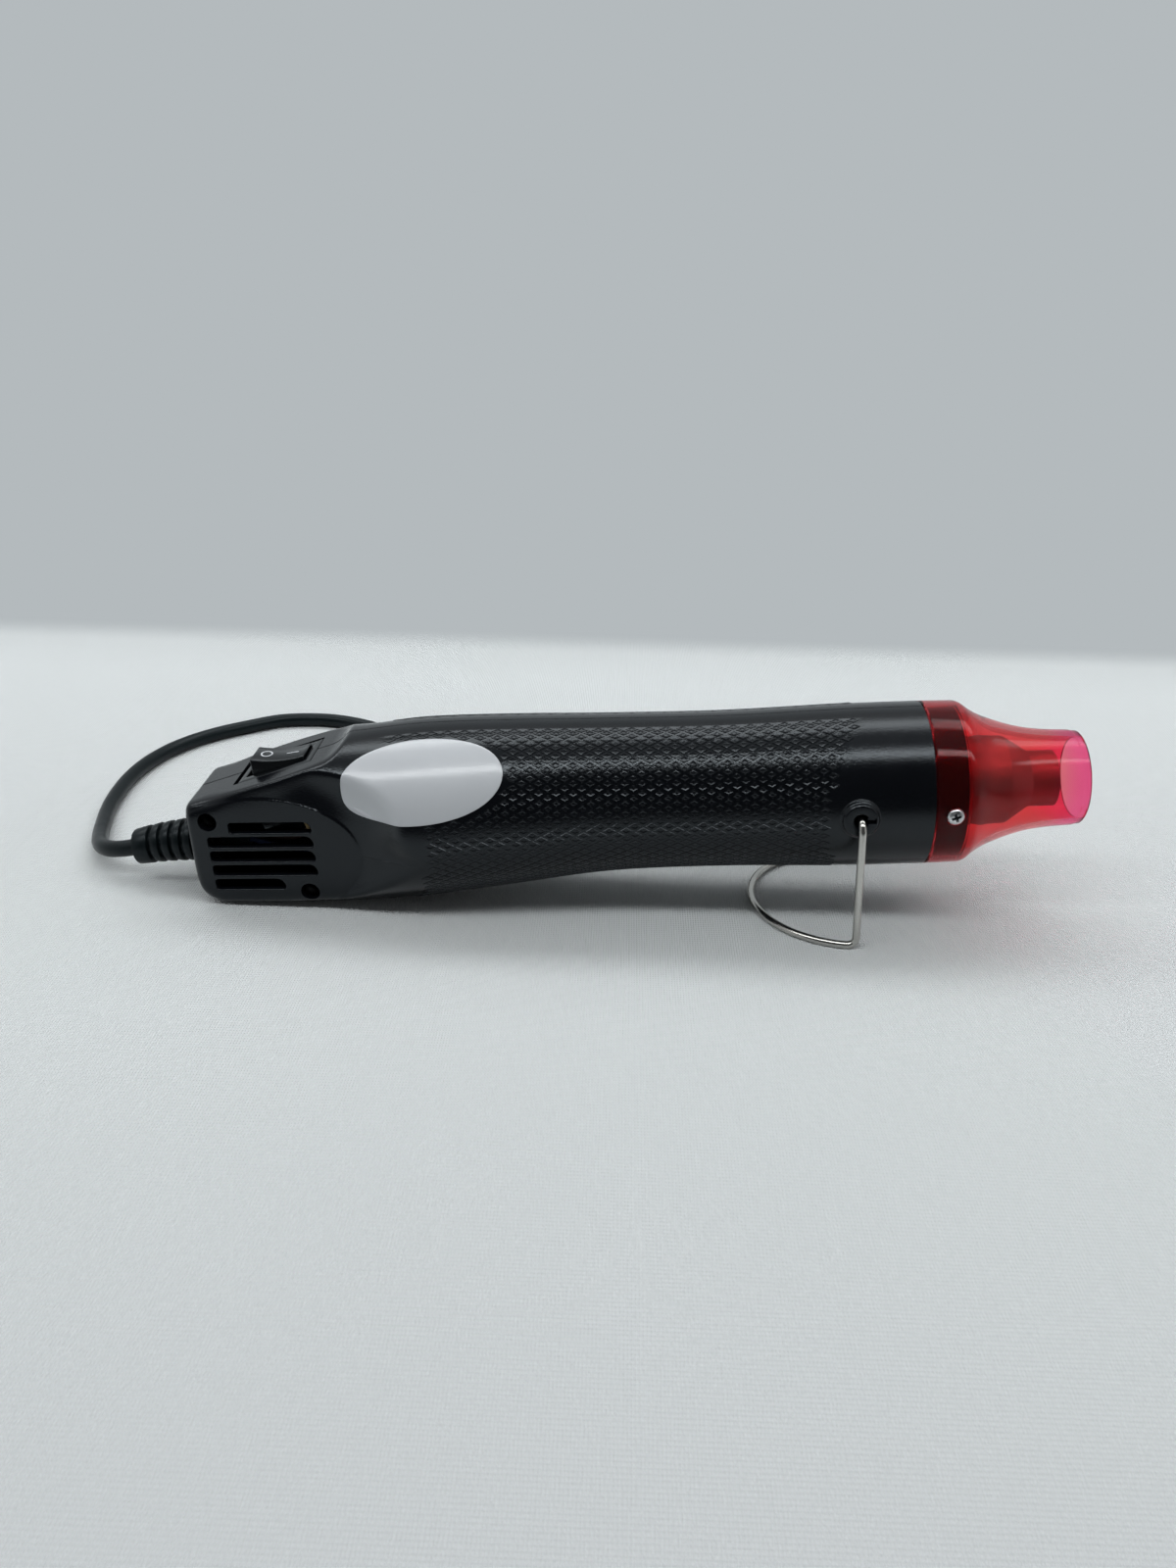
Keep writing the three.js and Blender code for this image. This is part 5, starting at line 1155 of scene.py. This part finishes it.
TIE_THICK = 0.8
TIE_HALF_LENGTH = 4.5
TIE_RADIUS = 2.4
TIE_LIFT = 1.1


def add_tie(finish):
    """A hook and loop strap round the hank's waist."""
    outermost = HANK_FOLD_RADIUS + HANK_STEP * (HANK_LOOPS / 2 + 0.1) - HANK_WAIST
    half_width = outermost + CORD_DIAMETER / 2 + 1.2
    half_height = (HANK_LAYER + CORD_DIAMETER + 0.6) / 2
    middle = TIE_LIFT + half_height
    thick, half = TIE_THICK, TIE_HALF_LENGTH
    rings = []
    section = [
        (0.05, -half), (0.05, half), (thick - 0.15, half), (thick, half - 0.2), (thick, 0.2 - half),
        (thick - 0.15, -half),
    ]
    for out, across in section:
        w, h = half_width + out, half_height + out
        outline = rounded_outline(-w, w, -h, h, TIE_RADIUS + out, 6)
        rings.append([(HANK_X + across, HANK_Y + y, middle + z) for y, z in outline])
    tie = skin_of_rings("strap", rings + [rings[0]], BENCH, 40, caps=False)
    settle(tie, finish, "tool", "tie", "cord_tie")
    return tie


def add_strain_relief(finish):
    """A tapered, ribbed tail that droops, with its neck in the rear wall."""
    out, end = REAR - 0.3, RELIEF_END

    def radius(x):
        return np.interp(x, [end, out], [4.85, 6.1])

    profile = [(REAR + 3, 5.6), (REAR + 2.1, 5.9), (REAR + 2.1, 4.5), (out, 4.5)]
    profile += [(out, radius(out) - 0.25), (out - 0.25, radius(out))]
    for k in range(RELIEF_GROOVES):
        edge = out - 1.75 - k * RELIEF_PITCH
        wall = [(0.0, 0.0), (0.16, 0.08), (0.26, 0.3), (0.3, RELIEF_DEPTH)]
        steps = wall + [(RELIEF_GROOVE, RELIEF_DEPTH)]
        steps += [(RELIEF_GROOVE + a, b) for a, b in ((0.04, 0.3), (0.14, 0.08), (0.3, 0.0))]
        profile += [(edge - step, radius(edge) - drop) for step, drop in steps]
    profile += [(end + 0.4, radius(end)), (end + 0.1, radius(end) - 0.12), (end, radius(end) - 0.4)]
    profile += [(end, 2.5), (end + 2, 2.2)]
    angles = np.arange(48) * 2 * pi / 48
    rings = []
    for at, r in profile:
        centre = relief_centre(at)
        lean = 2 * RELIEF_DROOP * min(0, at - REAR)
        rings.append([(at + lean * r * sin(a) * 0.6, r * cos(a), centre + r * sin(a)) for a in angles])
    relief = skin_of_rings("ribbed_strain_relief", rings, TOOL, 35)
    settle(relief, finish, "tool", "cord", "strain_relief")


# Inside

NOZZLE_TIP_RADIUS = 7.2
NOZZLE_WALL = 0.5


def add_air_nozzle(finish):
    """The steel tube that shows through the shield: a wide barrel, a cone and a narrow tip."""
    r, tip, wall = NOZZLE_RADIUS, NOZZLE_TIP_RADIUS, NOZZLE_WALL
    outer = [
        (-40.4, 14.0), (-39.6, 14.0), (-39.6, r), (38.6, r), (39.3, r - 0.12), (45.1, tip + 0.3), (45.8, tip),
        (52.3, tip), (52.4, tip - 0.15),
    ]
    inner = [
        (52.4, tip - wall + 0.1), (52.3, tip - wall), (45.7, tip - wall), (38.8, r - wall), (-40.4, r - wall),
    ]
    nozzle = hoop("steel_air_nozzle", outer + inner, 120, TOOL, sharp=30)
    settle(nozzle, finish, "tool", "nozzle_steel", "air_nozzle")


def dress_nodes(by_slot):
    """Every CAD node gets its slot's finish, also those that stay hidden behind a visible piece."""
    for entry in frame["record"]["subparts"]:
        materials = frame["nodes"][entry["node"]].data.materials
        materials.clear()
        materials.append(by_slot[entry["material_slot"]])


# Room and light

FLOOR = (0.62, 0.642, 0.648)
# The floor is painted darker towards the camera and lighter towards the back: painted shade and painted light
FLOOR_NEAR_PAINTED_SHADE = (0.54, 0.556, 0.562)
FLOOR_FAR_PAINTED_LIGHT = (0.69, 0.715, 0.72)
# Painted dark reflection: near the camera the floor is nearly black to reflected and bounced rays, though pale to
# the camera
FLOOR_PAINTED_DARK_REFLECTION = (0.03, 0.03, 0.03)
CLOTH_PITCH = 0.0013
CLOTH_DEPTH = 0.00011
BACKDROP = (0.456, 0.491, 0.509)
SHEET_NEAR, SHEET_BACK, SHEET_HEIGHT, SHEET_BEND, SHEET_HALF_WIDTH = -2.0, 0.42, 0.4, 0.04, 2.5


def add_room():
    """A pale cloth sheet: floor, a bend behind the cord, and a low backdrop that glows evenly."""
    made = material("plain_backdrop", FLOOR, 0.8)
    n = Nodes(made)
    x, y, _ = n.axes(n.place())
    ray = n.add("ShaderNodeLightPath").outputs
    # For all but camera rays the floor near the camera is painted nearly black: a painted dark reflection
    shown_pale = n.math("MAXIMUM", n.span(y, -0.17, -0.08), ray["Is Camera Ray"])
    # Painted shade on the floor near the camera, and painted light further back
    floor_painted_shade_near = n.mix(n.span(y, -0.19, -0.06), FLOOR_NEAR_PAINTED_SHADE, FLOOR)
    n.color(n.mix(shown_pale, FLOOR_PAINTED_DARK_REFLECTION, n.mix(n.span(y, 0.02, 0.17), floor_painted_shade_near, FLOOR_FAR_PAINTED_LIGHT)))
    seen = n.math("MAXIMUM", ray["Is Glossy Ray"], ray["Is Transmission Ray"])
    seen = n.math("MAXIMUM", ray["Is Camera Ray"], seen)
    glow = n.add("ShaderNodeEmission", {"Color": BACKDROP})
    behind = n.math("MULTIPLY", n.span(y, 0.205, 0.235, smooth=True), seen)
    surface = n.mixed_shader(behind, n.shader.outputs[0], glow.outputs[0])
    n.fill(n.tree.nodes["Material Output"], {"Surface": surface})
    ridges = []
    for slant in (0.7, -0.7):
        lean = n.math("ADD", x, n.math("MULTIPLY", y, slant))
        ridges.append(n.math("SINE", n.math("MULTIPLY", lean, 2 * pi / CLOTH_PITCH)))
    n.bump(n.math("MULTIPLY", *ridges), CLOTH_DEPTH)
    bend_from = SHEET_BACK - SHEET_BEND
    line = [(SHEET_NEAR, 0.0), (bend_from, 0.0)]
    for a in np.radians(np.arange(10, 91, 10)):
        line.append((bend_from + SHEET_BEND * sin(a), SHEET_BEND - SHEET_BEND * cos(a)))
    line.append((SHEET_BACK, SHEET_HEIGHT))
    points = [(x, y, z) for x in (-SHEET_HALF_WIDTH, SHEET_HALF_WIDTH) for y, z in line]
    count = len(line)
    faces = [(k, k + 1, count + k + 1, count + k) for k in range(count - 1)]
    sheet = mesh_piece("floor_and_backdrop", points, faces, None, 60)
    sheet.data.materials.append(made)


# Brightness of the light tent at angles from the camera's side, over the top, to the back
TENT = [
    (0, 0.06), (50, 0.07), (60, 0.2), (63, 8.5), (68, 8.5), (71, 0.46), (102, 0.46), (108, 4.0), (119, 4.1),
    (123, 0.8), (140, 0.42), (160, 0.34), (180, 0.32),
]
TENT_SIDES = 0.45
TENT_COLOR = (0.965, 0.99, 1.0)
# The tent's share ends between these, as the sine of the angle off the middle
TENT_EDGE = (0.6, 0.8)


def add_light():
    """A light tent with bright and dark bands over the tool. The camera sees a plain colour instead."""
    world = bpy.data.worlds.new("light_tent")
    bpy.context.scene.world = world
    world.use_nodes = True
    n = Nodes(world)
    x, y, z = n.axes(n.place("Generated"))
    turn = n.math("ARCTAN2", z, n.math("MULTIPLY", y, -1.0))
    curve = n.add("ShaderNodeFloatCurve", {"Value": n.math("DIVIDE", turn, pi)})
    top = max(level for _, level in TENT)
    points = curve.mapping.curves[0].points
    for k, (angle, level) in enumerate(TENT):
        point = points[k] if k < 2 else points.new(0, 0)
        point.location = (angle / 180, level / top)
    for point in points:
        point.handle_type = "VECTOR"
    curve.mapping.update()
    share = n.span(n.math("ABSOLUTE", x), *TENT_EDGE, 1.0, 0.0, smooth=True)
    overhead = n.math("MULTIPLY", n.math("MULTIPLY", curve.outputs[0], top), share)
    sides = n.math("MULTIPLY", n.math("SUBTRACT", 1.0, share), TENT_SIDES)
    tent = n.tree.nodes["Background"]
    n.fill(tent, {"Color": TENT_COLOR, "Strength": n.math("ADD", overhead, sides)})
    beyond = n.add("ShaderNodeBackground", {"Color": BACKDROP})
    seen = n.add("ShaderNodeLightPath").outputs["Is Camera Ray"]
    surface = n.mixed_shader(seen, tent.outputs[0], beyond.outputs[0])
    n.fill(n.tree.nodes["World Output"], {"Surface": surface})


# The whole

add_camera()
finishes = {
    "casing": casing_finish(),
    "shield": shield_finish(),
    "screw": metal("zinc_plate", (0.66, 0.67, 0.68), 0.26),
    # Dark metal for the screws' cross recesses: painted shade, not a finish of their own
    "recess": metal("screw_recess_painted_shade", (0.05, 0.055, 0.06), 0.4),
    "wire": metal("bright_wire", (0.54, 0.53, 0.5), 0.16, depth=0.000006),
    "switch": moulded("switch_plastic", (0.003, 0.0036, 0.0042), (0.004, 0.0047, 0.0054), 0.2, depth=0.00001,
                      Specular_Tint=COOL),
    "terminal": metal("brass", (0.24, 0.18, 0.09), 0.45),
    "sticker": moulded("sticker_film", (0.53, 0.55, 0.575), (0.505, 0.525, 0.55), 0.235, (0.035, 0.035),
                       (35, 3, 0.35, 0.7), (500, 2), 60, 0.00008, Coat_Weight=0.2, Coat_Roughness=0.12),
    "cord": moulded("cord_sheath", (0.0035, 0.006, 0.007), (0.0048, 0.0078, 0.009), 0.34, (0.04, 0.04),
                    (40, 4, 0.35, 0.65), (220, 3), 1500, Specular_IOR_Level=0.2, Specular_Tint=COOL),
    "tie": moulded("strap_fabric", (0.014, 0.014, 0.015), (0.022, 0.022, 0.023), 0.8, grain=1800,
                   depth=0.0002),
    "plug": moulded("plug_plastic", (0.008, 0.0095, 0.0105), (0.011, 0.0125, 0.0135), 0.42),
    "pin": metal("nickel_plate", (0.68, 0.66, 0.62), 0.22),
    "brown_lead": moulded("brown_insulation", (0.035, 0.013, 0.008), (0.042, 0.016, 0.009), 0.5),
    "blue_lead": moulded("blue_insulation", (0.005, 0.015, 0.055), (0.006, 0.019, 0.065), 0.5),
    "fan": moulded("fan_plastic", (0.25, 0.02, 0.02), (0.3, 0.026, 0.026), 0.4),
    "motor_steel": metal("motor_steel", (0.5, 0.51, 0.52), 0.34),
    "magnet": moulded("ferrite", (0.03, 0.03, 0.032), (0.045, 0.045, 0.047), 0.7, depth=0.00008),
    "winding": metal("copper", (0.55, 0.23, 0.1), 0.35, brushed=(1, 8, 8), depth=0.0001),
    "board": moulded("laminate", (0.22, 0.14, 0.04), (0.28, 0.18, 0.06), 0.5),
    "diode": moulded("diode_body", (0.012, 0.012, 0.012), (0.018, 0.018, 0.018), 0.3),
    "nozzle_steel": metal("stainless_tube", (0.36, 0.345, 0.325), 0.52, brushed=(1, 12, 12)),
    "mica": moulded("mica_sheet", (0.3, 0.24, 0.15), (0.42, 0.34, 0.22), 0.55, grain=500, depth=0.00006),
    "coil": metal("resistance_wire", (0.28, 0.26, 0.25), 0.45),
}
mark = moulded("mark_paint", (0.55, 0.57, 0.6), (0.6, 0.62, 0.65), 0.5)

dress_nodes(finishes)
add_cord(finishes["cord"], finishes["plug"], finishes["tie"])
add_casing(finishes["casing"], casing_finish("grip_plastic", 0.21, 0.00003))
add_vent_guard(finishes["casing"])
add_collar_and_pivots(finishes["casing"])
add_shield(finishes["shield"])
for side, word in SIDES:
    name = f"shield_screw_head_{word}"
    screw(name, SCREW_X, 0, SCREW_SEAT, side, SCREW_LENGTH, finishes["screw"], f"shield_screw_{word}")
for number, (at_x, at_z) in enumerate(CASE_SCREWS, 1):
    name = f"case_screw_head_{number}"
    screw(name, at_x, at_z, CASE_SCREW_SEAT, -1, CASE_SCREW_LENGTH, finishes["screw"], f"case_screw_{number}")
add_stand(finishes["wire"])
add_switch(finishes["switch"], mark)
add_sticker(finishes["sticker"])
add_strain_relief(finishes["cord"])
add_air_nozzle(finishes["nozzle_steel"])
add_room()
add_light()

scene = bpy.context.scene
scene.view_settings.view_transform = "Standard"
